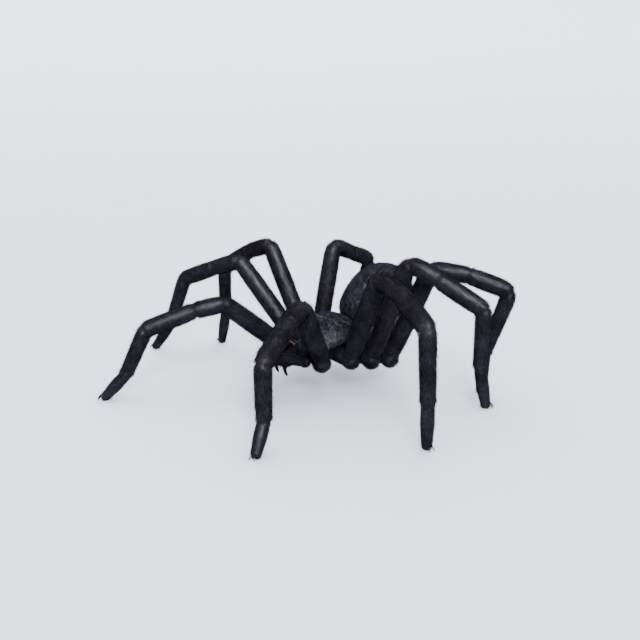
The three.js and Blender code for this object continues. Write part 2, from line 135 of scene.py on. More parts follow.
# Shares of the tubercle's half sizes across and ahead, and each eye's radius.
EYES = {
    "front_middle": (0.3, 0.46, 0.42),
    "front_outer": (0.76, 0.46, 0.44),
    "rear_outer": (0.8, -0.3, 0.36),
    "rear_middle": (0.44, -0.34, 0.28),
}
EYE_SINK = 0.4  # share of its radius that an eye's centre lies under the tubercle

# Half sizes of the trunk's outline at its bottom and at its top.
TRUNK = {"y": -3.2, "bottom": (5.6, 10.6), "top": (10.8, 12.2)}
STERNUM = {"y": -2.5, "half_width": 5, "half_length": 10.4, "front_y": -14.8, "front": 11.9,
           "slope": 0.07}
STERNUM_SPOTS = ((3.1, -8.2), (3.4, -3.6), (2.2, 1.4))
LABIUM = {"y": -14.4, "half_width": 1.45, "half_length": 1.7}

CHELICERA = {"x": 2.5, "y": -19, "z": 16.2, "length": 6.2, "slope": -14, "high": 2.8,
             "wide": 2.15}
CHELICERA_PROFILE = ([0, 0.16, 0.45, 0.72, 0.9, 1], [0.9, 0.99, 1, 0.88, 0.66, 0.38])
JAW_DEPTH = 0.3  # of the jaws' coat
FANG = {"inset": 1.4, "seat": 0.62, "root": 0.8, "length": 4.4, "start": -88, "end": -128}
FANG_ROOT = 2.4  # how far the fang reaches up into the jaw

ABDOMEN_AT = np.array([0, 25.4, 30])
ABDOMEN_HALF = np.array([12.5, 17, 11.2])
ABDOMEN_PITCH = math.radians(21)
ABDOMEN_EGG = 0.1  # how much fatter the rear half is
PEDICEL = {"from": (0, 4, 18), "to": (0, 18, 22.5), "radius": 1.85}
SPINNERET = {"x": 2.1, "y": 37.4, "z": 29.6, "slope": -12, "heading": 78, "length": 8.2,
             "radius": 1.25}
FINGER_DEPTH = 0.2  # of the spinnerets' coat

# A claw starts and ends at distances ahead of the toe's middle. It starts high over the
# floor, arches and then drops, and its tip stands aside by its spread.
CLAW = {"in": 0.5, "out": 2.9, "high": 1.65, "arch": 0.25, "drop": 1.3, "spread": 0.95,
        "root": 0.48, "tip": 0.14}


# --- Settings that a user would change ---


# Each makes one setting from its name, its description and its default.


def number_property(name, description, default, **kind):
    return bpy.props.FloatProperty(name=name, description=description, default=default, **kind)


def length_property(name, description, default):
    return number_property(name, description, default, min=0.0, unit="LENGTH", precision=5)


def angle_property(name, description, degrees):
    return number_property(name, description, math.radians(degrees), subtype="ANGLE")


def colour_property(name, description, default):
    return bpy.props.FloatVectorProperty(
        name=name, description=description, subtype="COLOR", size=3, min=0, max=1,
        default=default)


class TarantulaCoat(bpy.types.PropertyGroup):
    """How far the skin lies under the coat's tips, and the lengths of the hair."""

    leg_depth: length_property(
        "Leg coat depth", "From a leg's skin to the tips of its flat hair", 0.2 * MM)
    body_depth: length_property(
        "Body coat depth", "From the hind body's skin to the tips of its hair", 0.4 * MM)
    shell_depth: length_property(
        "Shell coat depth", "From the carapace to the tips of its short hair", 0.2 * MM)
    leg_hair: length_property("Leg hair", "Usual length of a leg's tufts", 1.5 * MM)
    body_hair: length_property("Body hair", "Usual length of the hind body's tufts", 1.9 * MM)
    shell_hair: length_property("Shell hair", "Usual length of the carapace's tufts", 0.8 * MM)


class TarantulaColours(bpy.types.PropertyGroup):
    """Base colours of the skin, coat, shell, horn and eyes."""

    dark: colour_property("Dark", "The darkest hair and skin", (0.0048, 0.0039, 0.0058))
    light: colour_property("Light", "Where the hair is palest", (0.0250, 0.0224, 0.0328))
    brown: colour_property("Brown", "Worn and bare places, and the skin of the joints",
                           (0.0200, 0.0130, 0.0100))
    shell: colour_property("Shell", "The palest blotches of carapace and hind body",
                           (0.0460, 0.0470, 0.0740))
    horn: colour_property("Horn", "Fangs and claws", (0.006, 0.004, 0.004))
    # The eyes' pale amber is partly their own colour and partly a painted glint.
    eye: colour_property("Eye", "The amber of the glossy eyes", (0.20, 0.145, 0.100))


class TarantulaStage(bpy.types.PropertyGroup):
    """Camera, floor and lights."""

    camera_at: bpy.props.FloatVectorProperty(
        name="Camera place", description="Where the camera stands", subtype="XYZ",
        unit="LENGTH", default=(0.1938, -0.15524, 0.101))
    azimuth: angle_property("Azimuth", "Direction of sight seen from above, 0 along +Y", 48.5)
    elevation: angle_property("Elevation", "How far the camera looks down", 16.9)
    field: angle_property("Field of view", "Across the square picture", 50)
    floor_radius: length_property("Floor radius", "Of the flat part of the floor", 0.9)
    floor: colour_property("Floor", "The pale floor", (0.82, 0.855, 0.915))
    sky: colour_property("Sky", "The soft light from all round", (0.90, 0.93, 1.0))
    sky_strength: number_property(
        "Sky strength", "Strength of the light from all round", 2.15)
    key_strength: number_property(
        "Key light", "Strength of the soft light over the viewer's shoulder", 3.0)
    shine_strength: number_property(
        "Shine light", "Strength of the key light in highlights", 10.5)
    key_angle: angle_property(
        "Key light size", "How wide the key light looks from the floor", 22)
    fill_strength: number_property(
        "Top light", "Strength of the soft light from above and behind", 1.2)


# --- Meshes from numpy arrays ---


def make_piece(name, points, quads, triangles, material=None, **values):
    """A mesh object from points in millimetres, index arrays of its quads and triangles, and
    one value per point for each named attribute. All of its faces are smooth."""
    mesh = bpy.data.meshes.new(name)
    quads = np.asarray(quads, np.int32).reshape(-1, 4)
    triangles = np.asarray(triangles, np.int32).reshape(-1, 3)
    corners = np.concatenate([quads.ravel(), triangles.ravel()])
    starts = np.concatenate(
        [np.arange(len(quads)) * 4, len(quads) * 4 + np.arange(len(triangles)) * 3])
    mesh.vertices.add(len(points))
    mesh.vertices.foreach_set("co", ((points + BODY_AT) * MM).astype(np.float32).ravel())
    mesh.loops.add(len(corners))
    mesh.loops.foreach_set("vertex_index", corners)
    mesh.polygons.add(len(starts))
    mesh.polygons.foreach_set("loop_start", starts.astype(np.int32))
    mesh.polygons.foreach_set("use_smooth", np.ones(len(starts), bool))
    mesh.update(calc_edges=True)
    for key, value in values.items():
        layer = mesh.attributes.new(key, "FLOAT", "POINT")
        layer.data.foreach_set("value", np.broadcast_to(value, len(points)).astype(np.float32))
    piece = bpy.data.objects.new(name, mesh)
    bpy.context.scene.collection.objects.link(piece)
    if material:
        mesh.materials.append(material)
    return piece


def closed_tube(grid):
    """Points and faces of a grid of rings, closed round and at both ends. The rows run along
    the tube and the columns round it, each end is a fan to its ring's middle."""
    rows, columns, _ = grid.shape
    row = np.arange(rows - 1)[:, None] * columns
    column = np.arange(columns)[None, :]
    after = (column + 1) % columns
    quads = np.stack(
        [row + column, row + after, row + columns + after, row + columns + column], -1)
    first, last = rows * columns, rows * columns + 1
    end = (rows - 1) * columns
    around, beside = column[0], after[0]
    fans = np.concatenate([
        np.stack([np.full(columns, first), beside, around], -1),
        np.stack([np.full(columns, last), end + around, end + beside], -1),
    ])
    points = np.concatenate([grid.reshape(-1, 3), [grid[0].mean(0)], [grid[-1].mean(0)]])
    return points, quads.reshape(-1, 4), fans


def tube_values(values, rows, columns):
    """One value per grid point and per end, from an array that broadcasts to the grid."""
    spread = np.broadcast_to(values, (rows, columns))
    return np.concatenate([spread.ravel(), [spread[0, 0], spread[-1, 0]]])


def surface_grid(surface, along, columns):
    """A surface's points at the given shares along it and evenly round it."""
    around = np.arange(columns) / columns
    v, u = np.meshgrid(along, around, indexing="ij")
    return surface(u.ravel(), v.ravel()).reshape(len(along), columns, 3)


def tube_piece(name, surface, along, columns, finish=None, **values):
    """A closed mesh of a surface, with attributes given as functions of (u, v). Along holds
    its rings' shares, or how many even ones there are."""
    if isinstance(along, int):
        along = np.linspace(0, 1, along)
    points, quads, fans = closed_tube(surface_grid(surface, along, columns))
    v, u = np.meshgrid(along, np.arange(columns) / columns, indexing="ij")
    spread = {k: tube_values(f(u, v), len(along), columns) for k, f in values.items()}
    return make_piece(name, points, quads, fans, finish and finish_of(finish), **spread)


def fuse(base, others):
    """One skin: the union of closed meshes, with every value carried over."""
    for other in others:
        join = base.modifiers.new(other.name, "BOOLEAN")
        join.operation = "UNION"
        join.solver = "MANIFOLD"
        join.object = other
    depsgraph = bpy.context.evaluated_depsgraph_get()
    fused = bpy.data.meshes.new_from_object(
        base.evaluated_get(depsgraph), preserve_all_data_layers=True, depsgraph=depsgraph)
    finish = base.active_material
    base.modifiers.clear()
    base.data = fused
    fused.materials.clear()
    fused.materials.append(finish)
    for other in others:
        bpy.data.objects.remove(other)
    fused.polygons.foreach_set("use_smooth", np.ones(len(fused.polygons), bool))
    return base


def ride_as(piece, slot, *nodes):
    """Fixes a finished piece to the body and hides the solids it stands for. The slot, its
    finish's name, is not used.
    """
    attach(piece, "root")
    if nodes:
        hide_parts(*nodes)
    return piece


# --- Centre lines ---

LINE_STEP = 0.05


def unit(vectors):
    """Each vector divided by its own length."""
    return vectors / np.linalg.norm(vectors, axis=-1, keepdims=True)


def ahead_of(side, heading):
    """The level direction of a limb whose heading, in degrees, is given for the left: the
    cosine and sine of the heading, or on the right those of 180 less the heading."""
    turn = math.radians(heading if side == "left" else 180 - heading)
    return np.array([math.cos(turn), math.sin(turn), 0])


def on_side(side, place):
    """A place that is given for the left, mirrored for the right."""
    x, y, z = place
    return np.array([SIDES[side] * x, y, z], float)


def upright(along):
    """The direction square to along that lies nearest to up."""
    return unit(np.cross(np.cross(along, UP), along))


class Line:
    """A centre line as close samples: its places, its direction and the direction of its
    back."""

    def __init__(self, places, along, back):
        steps = np.linalg.norm(np.diff(places, axis=0), axis=1)
        self.run = np.concatenate([[0], np.cumsum(steps)])
        self.length = self.run[-1]
        self.places = places
        self.along = along
        self.back = back

    def sample(self, values, run):
        """Values at a distance along the line, in even steps between its samples."""
        return np.stack([np.interp(run, self.run, values[:, k]) for k in range(3)], -1)

    def point(self, run, angle, high, wide):
        """Points of a tube: the place plus the back direction times the ring's half height
        and the angle's cosine, plus the side direction times its half width and the angle's
        sine. Past its end the line goes on straight."""
        beyond = np.clip(run - self.length, 0, None)[:, None]
        along = unit(self.sample(self.along, run))
        back = unit(self.sample(self.back, run))
        side = np.cross(along, back)
        return (
            self.sample(self.places, run) + beyond * along
            + (high * np.cos(angle))[:, None] * back
            + (wide * np.sin(angle))[:, None] * side)


def straight_line(start, end):
    """A straight centre line with its back upwards."""
    places = np.array([start, end], float)
    along = unit(places[1] - places[0])
    return Line(places, np.stack([along] * 2), np.stack([upright(along)] * 2))


def leg_line(side, number):
    """A leg's centre line from the hip to the toe's centre, and the distances to its joints.
    The slope is even on the straight parts and changes evenly along the bends, and the
    places are the running sums of its cosine (outward) and sine (up)."""
    leg = LEGS[number]
    heading, slopes = LEG_POSES[side][number]
    slopes = np.radians(slopes)
    lengths = np.array(leg["lengths"], float)
    above = leg["hip"][2] + (lengths * np.sin(slopes[:4])).sum()
    tarsus = (PAD_RADIUS - SOLE_DEPTH - above) / math.sin(slopes[4])
    lengths = np.append(lengths, tarsus)
    turns = np.abs(np.diff(slopes))
    trims = BEND_RADIUS * np.tan(turns / 2)
    parts = np.zeros(9)
    parts[0::2] = lengths
    parts[0:-2:2] -= trims
    parts[2::2] -= trims
    parts[1::2] = BEND_RADIUS * turns
    marks = np.concatenate([[0], np.cumsum(parts)])
    joints = (marks[1:-1:2] + marks[2::2]) / 2
    run = np.linspace(0, marks[-1], int(marks[-1] / LINE_STEP))
    slope = np.interp(run, marks, np.repeat(slopes, 2))
    middle = (slope[1:] + slope[:-1]) / 2
    out = np.concatenate([[0], np.cumsum(np.cos(middle))]) * run[1]
    up = np.concatenate([[0], np.cumsum(np.sin(middle))]) * run[1]
    outward = ahead_of(side, heading)
    places = on_side(side, leg["hip"]) + out[:, None] * outward + up[:, None] * UP
    along = np.cos(slope)[:, None] * outward + np.sin(slope)[:, None] * UP
    back = -np.sin(slope)[:, None] * outward + np.cos(slope)[:, None] * UP
    return Line(places, along, back), joints


def reach_of(line):
    """A leg's whole length, to the last ring of its toe."""
    return line.length + PAD_RADIUS * POLE


def spline_line(points):
    """A smooth line through points, by Catmull-Rom cubics with centripetal spacing."""
    points = np.array(points, float)
    padded = np.concatenate([[2 * points[0] - points[1]], points, [2 * points[-1] - points[-2]]])
    knots = np.concatenate(
        [[0], np.cumsum(np.linalg.norm(np.diff(padded, axis=0), axis=1) ** 0.5)])
    pieces = []
    for k in range(1, len(padded) - 2):
        t = np.linspace(knots[k], knots[k + 1], 80, endpoint=False)[:, None]
        p, n = padded[k - 1:k + 3], knots[k - 1:k + 3]
        first = [((n[j + 1] - t) * p[j] + (t - n[j]) * p[j + 1]) / (n[j + 1] - n[j])
                 for j in range(3)]
        second = [((n[j + 2] - t) * first[j] + (t - n[j]) * first[j + 1]) / (n[j + 2] - n[j])
                  for j in range(2)]
        pieces.append(((n[2] - t) * second[0] + (t - n[1]) * second[1]) / (n[2] - n[1]))
    places = np.concatenate([*pieces, points[-1:]])
    along = unit(np.gradient(places, axis=0))
    back = unit(np.cross(along, [1.0, 0, 0]))
    return Line(places, along, back)


def bell(off, width):
    """A bell curve: 1 at its middle, and e to the minus square of off over width beside it."""
    return np.exp(-((off / width) ** 2))


def crowded(start, end, count, centres, width=1.6, extra=3.0):
    """Increasing distances from start to end, closer together near the given centres: their
    density is 1 plus extra times a bell curve at each centre."""
    fine = np.linspace(start, end, 2000)
    weight = 1 + sum(extra * bell(fine - centre, width) for centre in centres)
    total = np.concatenate([[0], np.cumsum((weight[1:] + weight[:-1]) / 2)])
    return np.interp(np.linspace(0, total[-1], count), total, fine)


# --- Surfaces ---


def swell(run, start, end, radius):
    """A segment's outline: 0.92 times the radius at its joints and 1.02 times midway, by the
    0.7th power of half a sine wave."""
    share = np.clip((run - start) / (end - start), 0, 1)
    return radius * (0.92 + 0.1 * np.sin(np.pi * share) ** 0.7)


def leg_outline(run, joints, end):
    """Radius out to the coat's tips at a distance along the leg: a swell on each of femur,
    patella and tibia, straight lines between the given radii on the foot, and a ball round
    the end."""
    knee, shin, ankle, toe_joint = joints
    start = ankle + 0.15
    foot = np.interp(run, *zip(
        (start, 0.94 * METATARSUS_RADIUS),
        (start + 2.2, METATARSUS_RADIUS),
        (toe_joint - 1.6, 0.9 * METATARSUS_RADIUS),
        (toe_joint - 0.3, 0.97 * METATARSUS_RADIUS),
        (toe_joint + 0.9, TARSUS_RADIUS),
        ((toe_joint + end) / 2, 1.04 * TARSUS_RADIUS),
        (end, TOE_RADIUS)))
    beyond = np.clip((run - end) / PAD_RADIUS, 0, 1)
    foot = foot * np.sqrt(1 - beyond ** 2)
    return np.select(
        [run < knee, run < shin, run < ankle],
        [swell(run, 3, knee, FEMUR_RADIUS), swell(run, knee, shin, SHIN_RADIUS),
         swell(run, shin, ankle, SHIN_RADIUS)],
        foot)


def belly_share(angle):
    """0 along the back of a limb, 1 along its underside: half of 1 less the cosine."""
    return (1 - np.cos(angle)) / 2


def joint_groove(run, angle, joints):
    """Depth of the creases: a bell curve at each joint, wider and deeper on the underside,
    less a low one on each side of it, for the raised lips of the segments."""
    under = belly_share(angle)
    depth = 0
    for joint in joints:
        off = np.abs(run - joint)
        depth = depth + (0.22 + 0.1 * under) * bell(off, 0.26 + 0.3 * under)
        depth = depth - 0.08 * bell(off - 0.95 - 0.3 * under, 0.5)
    return depth


def leg_surface(line, joints, depth):
    """A leg's skin from inside the trochanter to the toe: a round tube on the leg's centre
    line. Its radius is the outline less the coat's depth, which is less on the foot, less
    the creases and a narrowing into the trochanter. Points below the floor are put on it."""
    end = line.length

    def surface(u, v):
        run = v * reach_of(line)
        angle = 2 * np.pi * u
        thin = depth * np.interp(run, [0, joints[2], joints[3], end], [1, 0.95, 0.8, 0.5])
        outline = leg_outline(run, joints, end)
        radius = np.where(
            run < end, outline - thin, outline * (TOE_RADIUS - thin) / TOE_RADIUS)
        radius = radius - joint_groove(run, angle, joints) * (run < end - 2)
        radius = radius - 0.25 * bell(run, 1.6)
        points = line.point(run, angle, radius, radius)
        points[:, 2] = np.maximum(points[:, 2], 0)
        return points

    return surface


def under_carapace(y):
    """Height over the floor of the carapace's flat underside, which rises to the rear by
    the tangent of the pitch."""
    return PROSOMA_AT[2] + (y - PROSOMA_AT[1]) * math.tan(PROSOMA_PITCH)


def coxa_surface(hip, root, inner, radius, depth):
    """A coxa and its round trochanter, on a straight line. Its oval ring changes evenly from
    the inner half height and half width to a neck of 0.87 times the trochanter's radius. The
    ring is never smaller than the trochanter's ball round the hip, and a crease runs round
    the ball's inner side."""
    height, *inner_halves = inner
    line = straight_line((*root, height), hip)
    size = radius - depth
    neck = 0.87 * radius - depth

    def surface(u, v):
        run = v * (line.length + size * POLE)
        share = np.clip(run / line.length, 0, 1)
        beyond = (run - line.length) / size
        ball = size * np.sqrt(np.clip(1 - beyond ** 2, 0, 1)) * (beyond > -1)
        crease = 0.22 * bell(run - line.length + size * 0.95, 0.55)
        halves = []
        for inner_half in inner_halves:
            half = (inner_half - depth) * (1 - share) + neck * share
            halves.append(np.where(beyond >= 0, ball, np.maximum(half, ball) - crease))
        return line.point(run, 2 * np.pi * u, *halves)

    return surface


def leg_coxa_surface(side, number, depth):
    """A leg's coxa, from the trunk's inside to the hip: as high as the room between the
    coxa's floor and the carapace."""
    x, y, z = LEGS[number]["hip"]
    root_x, root_y = LEGS[number]["root"]
    top = under_carapace(root_y) - COXA_DROP
    bottom = LEGS[number]["floor"]
    inner = ((top + bottom) / 2, (top - bottom) / 2, COXA_HALF_WIDTH)
    hip = on_side(side, (x, y, z - TROCHANTER_DROP))
    root = (SIDES[side] * (root_x - COXA_INSET), root_y)
    return coxa_surface(hip, root, inner, TROCHANTER_RADIUS, depth)


def palp_coxa_surface(side, depth):
    """A palp's coxa, from the trunk's inside, a little under its hip, to the hip."""
    hip = PALP_JOINTS[side][0]
    x, y = PALP_COXA["root"]
    inner = (hip[2] - PALP_COXA["drop"], PALP_COXA["half_height"], PALP_COXA["half_width"])
    return coxa_surface(hip, (SIDES[side] * x, y), inner, PALP["trochanter"], depth)


def palp_outline(share):
    """Radius out to the coat's tips at a share of a palp's length: straight lines between
    the given radii, narrowest at the creases."""
    femur, shin, tip = PALP["femur"], PALP["shin"], PALP["tip"]
    knee, middle, last = PALP_CREASES
    return np.interp(share, *zip(
        (0, 0.86 * femur), (0.16, femur), (0.28, 0.98 * femur), (knee, 0.9 * femur),
        (0.43, shin), (0.5, 0.98 * shin), (middle, 0.92 * shin), (0.64, shin),
        (0.75, 0.97 * shin), (last, 0.86 * shin), (0.94, tip), (0.97, 0.84 * tip),
        (0.99, 0.55 * tip), (1, 0.12 * tip)))


def palp_surface(line, depth):
    """A palp's skin: a round tube on its centre line, with the radius of the outline less
    the coat's depth and 0.7 times the creases of a leg."""

    def surface(u, v):
        run = v * line.length
        angle = 2 * np.pi * u
        creases = [share * line.length for share in PALP_CREASES]
        radius = palp_outline(v) - depth * np.interp(v, [0, 0.94, 1], [1, 0.7, 0])
        radius = radius - 0.7 * joint_groove(run, angle, creases) * (v < 0.95)
        return line.point(run, angle, radius, radius)

    return surface


def pitched(points, pitch, at):
    """Turns points nose-down about the X axis and moves them."""
    x, y, z = points.T
    return np.stack([
        x, y * math.cos(pitch) - z * math.sin(pitch),
        y * math.sin(pitch) + z * math.cos(pitch)], -1) + at


def abdomen_surface(depth):
    """The hind body as an egg lying along Y: a ball of radius 1 stretched by the half sizes
    less the coat's depth, with rings that are fatter by twice the egg share times y times 1
    less the square of y. Its poles are its ends."""

    def surface(u, v):
        angle = 2 * np.pi * u
        y = -np.cos(np.pi * v)
        ring = np.sin(np.pi * v)
        fat = 1 + ABDOMEN_EGG * y * (1 - y * y) * 2
        wide, long, high = ABDOMEN_HALF
        points = np.stack([
            np.sin(angle) * ring * (wide * fat - depth),
            y * (long - depth),
            np.cos(angle) * ring * (high * fat - depth)], -1)
        return pitched(points, ABDOMEN_PITCH, ABDOMEN_AT)

    return surface


def plate_bottom(y):
    """Height over the floor of the breast plate's rim, which rises evenly to the rear."""
    return STERNUM["front"] + STERNUM["slope"] * (y - STERNUM["front_y"])


def trunk_surface(u, v):
    """The soft body between the coxae: oval rings from the breast plate's level up to just
    inside the carapace. Their half sizes change from the bottom's to the top's, the width
    with the 1.6th power of the level, and the front is narrowed by up to a third."""
    angle = 2 * np.pi * u
    level = np.clip((v - 0.15) / 0.7, 0, 1)
    spread = np.interp(v, [0, 0.15, 0.85, 1], [0.02, 1, 1, 0.02])
    (low_width, low_length), (top_width, top_length) = TRUNK["bottom"], TRUNK["top"]
    half_width = low_width + (top_width - low_width) * level ** 1.6
    half_length = low_length + (top_length - low_length) * level
    x = spread * half_width * np.sin(angle)
    y = TRUNK["y"] + spread * half_length * -np.cos(angle)
    narrow = 1 - 0.34 * np.clip(-(y + 6) / 9, 0, 1)
    top = under_carapace(y) + 0.3
    bottom = plate_bottom(y) + 0.5
    return np.stack([x * narrow, y, bottom + (top - bottom) * level], -1)


def rod_surface(start, end, radius):
    """A round rod on a straight line, narrowed to 0.3 times its radius at its very ends."""
    line = straight_line(start, end)

    def surface(u, v):
        size = radius * np.interp(v, [0, 0.04, 0.96, 1], [0.3, 1, 1, 0.3])
        return line.point(v * line.length, 2 * np.pi * u, size, size)

    return surface


def spinneret_surface(side):
    """A finger of three short joints: a round tube on a straight line, whose radius falls in
    steps to a rounded tip."""
    slope = math.radians(SPINNERET["slope"])
    along = ahead_of(side, SPINNERET["heading"]) * math.cos(slope) + UP * math.sin(slope)
    start = on_side(side, (SPINNERET["x"], SPINNERET["y"], SPINNERET["z"]))
    line = straight_line(start, start + along * SPINNERET["length"])

    def surface(u, v):
        size = np.interp(
            v, [0, 0.5, 0.56, 0.62, 0.8, 0.84, 0.95, 0.99, 1],
            [1, 1, 0.88, 0.9, 0.84, 0.7, 0.6, 0.35, 0.1])
        radius = np.maximum((SPINNERET["radius"] - FINGER_DEPTH) * size, 0.05)
        return line.point(v * line.length, 2 * np.pi * u, radius, radius)

    return surface


def smoothstep(value, low, high):
    """0 below low, 1 above high, and between them 3 times the square less twice the cube of
    the share of the way."""
    share = np.clip((value - low) / (high - low), 0, 1)
    return share * share * (3 - 2 * share)


def squarish(value):
    """A circle's coordinate turned into that of a fuller, squarer outline, by the 0.84th
    power of its size."""
    return np.sign(value) * np.abs(value) ** 0.84


def carapace_plan(share, angle):
    """Place in the carapace's plan at a share of the way out, clockwise from the rear: a
    fuller oval, narrowed by up to a quarter towards the head."""
    y = share * squarish(np.cos(angle)) * CARAPACE["length"] / 2
    narrow = 1 - 0.24 * smoothstep(-y, -1, 12)
    x = share * squarish(np.sin(angle)) * CARAPACE["width"] * narrow / 2
    return x, y


def groove_along(x, y, start, end, width):
    """A soft groove of depth 1 along the line from start to end, mirrored in x: a bell curve
    of the distance from the line, faded out at both ends."""
    px, py = np.abs(x) - start[0], y - start[1]
    dx, dy = end[0] - start[0], end[1] - start[1]
    length = math.hypot(dx, dy)
    along = (px * dx + py * dy) / length
    off = (px * dy - py * dx) / length
    inside = smoothstep(along, -0.6, 0.8) * (1 - smoothstep(along, length - 2.5, length))
    return bell(off, width) * inside


def carapace_height(share, x, y):
    """Height over the rim: a dome, the 0.62nd power of 1 less a power of the share of the
    way out, steeper ahead, raised by a bell curve along the head, less the pit behind it and
    the grooves."""
    ahead = np.clip(-y / (CARAPACE["length"] / 2), 0, 1)
    power = 2.3 + 1.9 * ahead ** 2
    dome = np.clip(1 - share ** power, 0, 1) ** 0.62
    head = bell(x, CAPUT["half_width"]) * smoothstep(-y, -3, 5)
    bow = y - FOVEA["y"] + 0.12 * x * x
    pit = bell(x, FOVEA["half_width"]) * bell(bow, FOVEA["half_length"])
    height = dome * (CARAPACE["height"] - CARAPACE["rim"] + CAPUT["rise"] * head)
    height = height - FOVEA["depth"] * pit
    for start, end, width, depth in GROOVES:
        height = height - depth * groove_along(x, y, start, end, width) * dome ** 0.3
    return height


def mound_share(x, y):
    """1 at the middle of the eye tubercle's plan, 0 at its edge and negative outside."""
    return 1 - (x / TUBERCLE_HALF[0]) ** 2 - ((y - TUBERCLE_AT[1]) / TUBERCLE_HALF[1]) ** 2


def carapace_share(v):
    """Share of the way out from the middle of the carapace's top, 1 at its rim: the sine of
    the share along the top."""
    return np.sin(np.clip(v / RIM_V, 0, 1) * np.pi / 2)


def carapace_surface(depth):
    """The carapace from the middle of its top to its rim and flat under it. Its top is the
    dome less the coat's depth, or the oval mound of the eyes where that is higher, with a
    soft blend between the two, and its rim ends in a thin raised lip."""
    blend = 0.3

    def surface(u, v):
        share = np.where(v < RIM_V, carapace_share(v), np.interp(v, [EDGE_V, 1], [1, 0]))
        x, y = carapace_plan(share, 2 * np.pi * u)
        top = CARAPACE["rim"] + carapace_height(share, x, y) - depth
        inside = np.clip(mound_share(x, y), 0, 1)
        mound = TUBERCLE_AT[2] + TUBERCLE_HALF[2] * np.sqrt(inside) - 0.1
        soft = blend * np.exp(-np.abs(top - mound) / blend) / 2
        top = np.where(inside > 0, np.maximum(top, mound) + soft, top)
        top = top + 0.12 * bell(share - 0.975, 0.018)
        rim = np.interp(v, [RIM_V, 0.875, 0.915, EDGE_V], [1, 1.004, 1.004, 0.99])
        edge = np.interp(v, [RIM_V, EDGE_V, 1], [CARAPACE["rim"] - depth, 0.05, 0.05])
        size = (1 - depth / (CARAPACE["width"] / 2)) * rim
        points = np.stack([x * size, y * size, np.where(v < RIM_V, top, edge)], -1)
        return pitched(points, PROSOMA_PITCH, PROSOMA_AT)

    return surface


def sternum_surface(u, v):
    """The breast plate from the middle of its underside to its edge: a heart-shaped oval
    that bulges down by 1 less the 2.4th power of the share of the way out, with small bare
    ovals as bell curves, and an edge that rolls up into the body."""
    angle = 2 * np.pi * u
    share = np.interp(v, [0, 0.8, 1], [0, 1, 0.96])
    x = share * STERNUM["half_width"] * squarish(np.sin(angle)) * 0.97
    y = STERNUM["y"] - share * STERNUM["half_length"] * np.cos(angle) * 0.95
    x = x * (1 - 0.3 * smoothstep(y, -1, 9))
    bulge = 0.55 * (1 - share ** 2.4)
    spots = sum(
        bell(np.abs(x) - spot_x, 0.5) * bell(y - spot_y, 0.9)
        for spot_x, spot_y in STERNUM_SPOTS)
    z = plate_bottom(y) + 0.6 - bulge + 0.14 * spots
    z = z + np.interp(v, [0, 0.8, 0.86, 1], [0, 0, 0.25, 1.4])
    return np.stack([x, y, z], -1)


def labium_surface(u, v):
    """The small lip ahead of the breast plate: a squarish oval that rises with the cube of
    the share of the way out, and an edge that rolls up into the body."""
    angle = 2 * np.pi * u
    share = np.interp(v, [0, 0.75, 1], [0, 1, 0.9])
    x = share * LABIUM["half_width"] * squarish(np.sin(angle))
    y = LABIUM["y"] - share * LABIUM["half_length"] * squarish(np.cos(angle))
    z = plate_bottom(y) + 0.25 + 0.5 * share ** 3 + np.interp(v, [0, 0.75, 1], [0, 0, 1.6])
    return np.stack([x, y, z], -1)


def jaw_root(side):
    """Where a jaw starts, on the floor's level."""
    return on_side(side, (CHELICERA["x"], CHELICERA["y"], 0))


def chelicera_surface(side):
    """The stout base of a jaw: oval rings along a line that leans down, with half sizes from
    the profile less the coat's depth. It is flatter on the inner side and has a furrow
    under its end for the fang, as a bell curve of the angle."""
    slope = math.radians(CHELICERA["slope"])

    def surface(u, v):
        angle = -2 * np.pi * u
        share = np.clip((v - 0.04) / 0.88, 0, 1)
        size = np.interp(share, *CHELICERA_PROFILE)
        tight = np.interp(v, [0, 0.04, 0.92, 0.97, 1], [0.7, 1, 1, 0.72, 0.12])
        tilt = slope * np.minimum(1, 2 * share)
        run = CHELICERA["length"] * share + np.interp(v, [0.92, 1], [0, 0.8])
        high = (CHELICERA["high"] * size - JAW_DEPTH) * tight
        wide = (CHELICERA["wide"] * np.sqrt(size) - JAW_DEPTH) * tight
        across = np.sin(angle)
        inner = np.clip(-across * SIDES[side], 0, 1)
        across = across * (1 - 0.12 * inner ** 2)
        furrow = 0.5 * bell(angle - np.pi, 0.3) * smoothstep(share, 0.45, 0.8)
        lift = (high - furrow) * np.cos(angle)
        forward = run * math.cos(slope) - lift * np.sin(tilt)
        z = CHELICERA["z"] + run * math.sin(slope) + lift * np.cos(tilt)
        return jaw_root(side) + np.stack([across * wide, -forward, z], -1)

    return surface


def fang_line(side):
    """The fang's centre line: it leaves the jaw's end downwards and curls back under it.
    Its slope changes evenly, and its places are the running sums of the slope's cosine
    (ahead) and sine (up)."""
    slope = math.radians(CHELICERA["slope"])
    start = math.radians(FANG["start"])
    run = np.linspace(-FANG_ROOT, FANG["length"], 160)
    share = np.clip(run / FANG["length"], 0, 1)
    bend = start + math.radians(FANG["end"] - FANG["start"]) * share
    step = run[1] - run[0]
    ahead = CHELICERA["length"] * math.cos(slope) - FANG["inset"] - FANG_ROOT * math.cos(start)
    ahead = ahead + (np.cumsum(np.cos(bend)) - np.cos(bend[0])) * step
    z = CHELICERA["z"] + CHELICERA["length"] * math.sin(slope) - CHELICERA["high"] * FANG["seat"]
    z = z - FANG_ROOT * math.sin(start) + (np.cumsum(np.sin(bend)) - np.sin(bend[0])) * step
    still = np.zeros(len(run))
    places = jaw_root(side) + np.stack([still, -ahead, z], -1)
    along = np.stack([still, -np.cos(bend), np.sin(bend)], -1)
    back = np.stack([still, np.sin(bend), np.cos(bend)], -1)
    return Line(places, along, back)


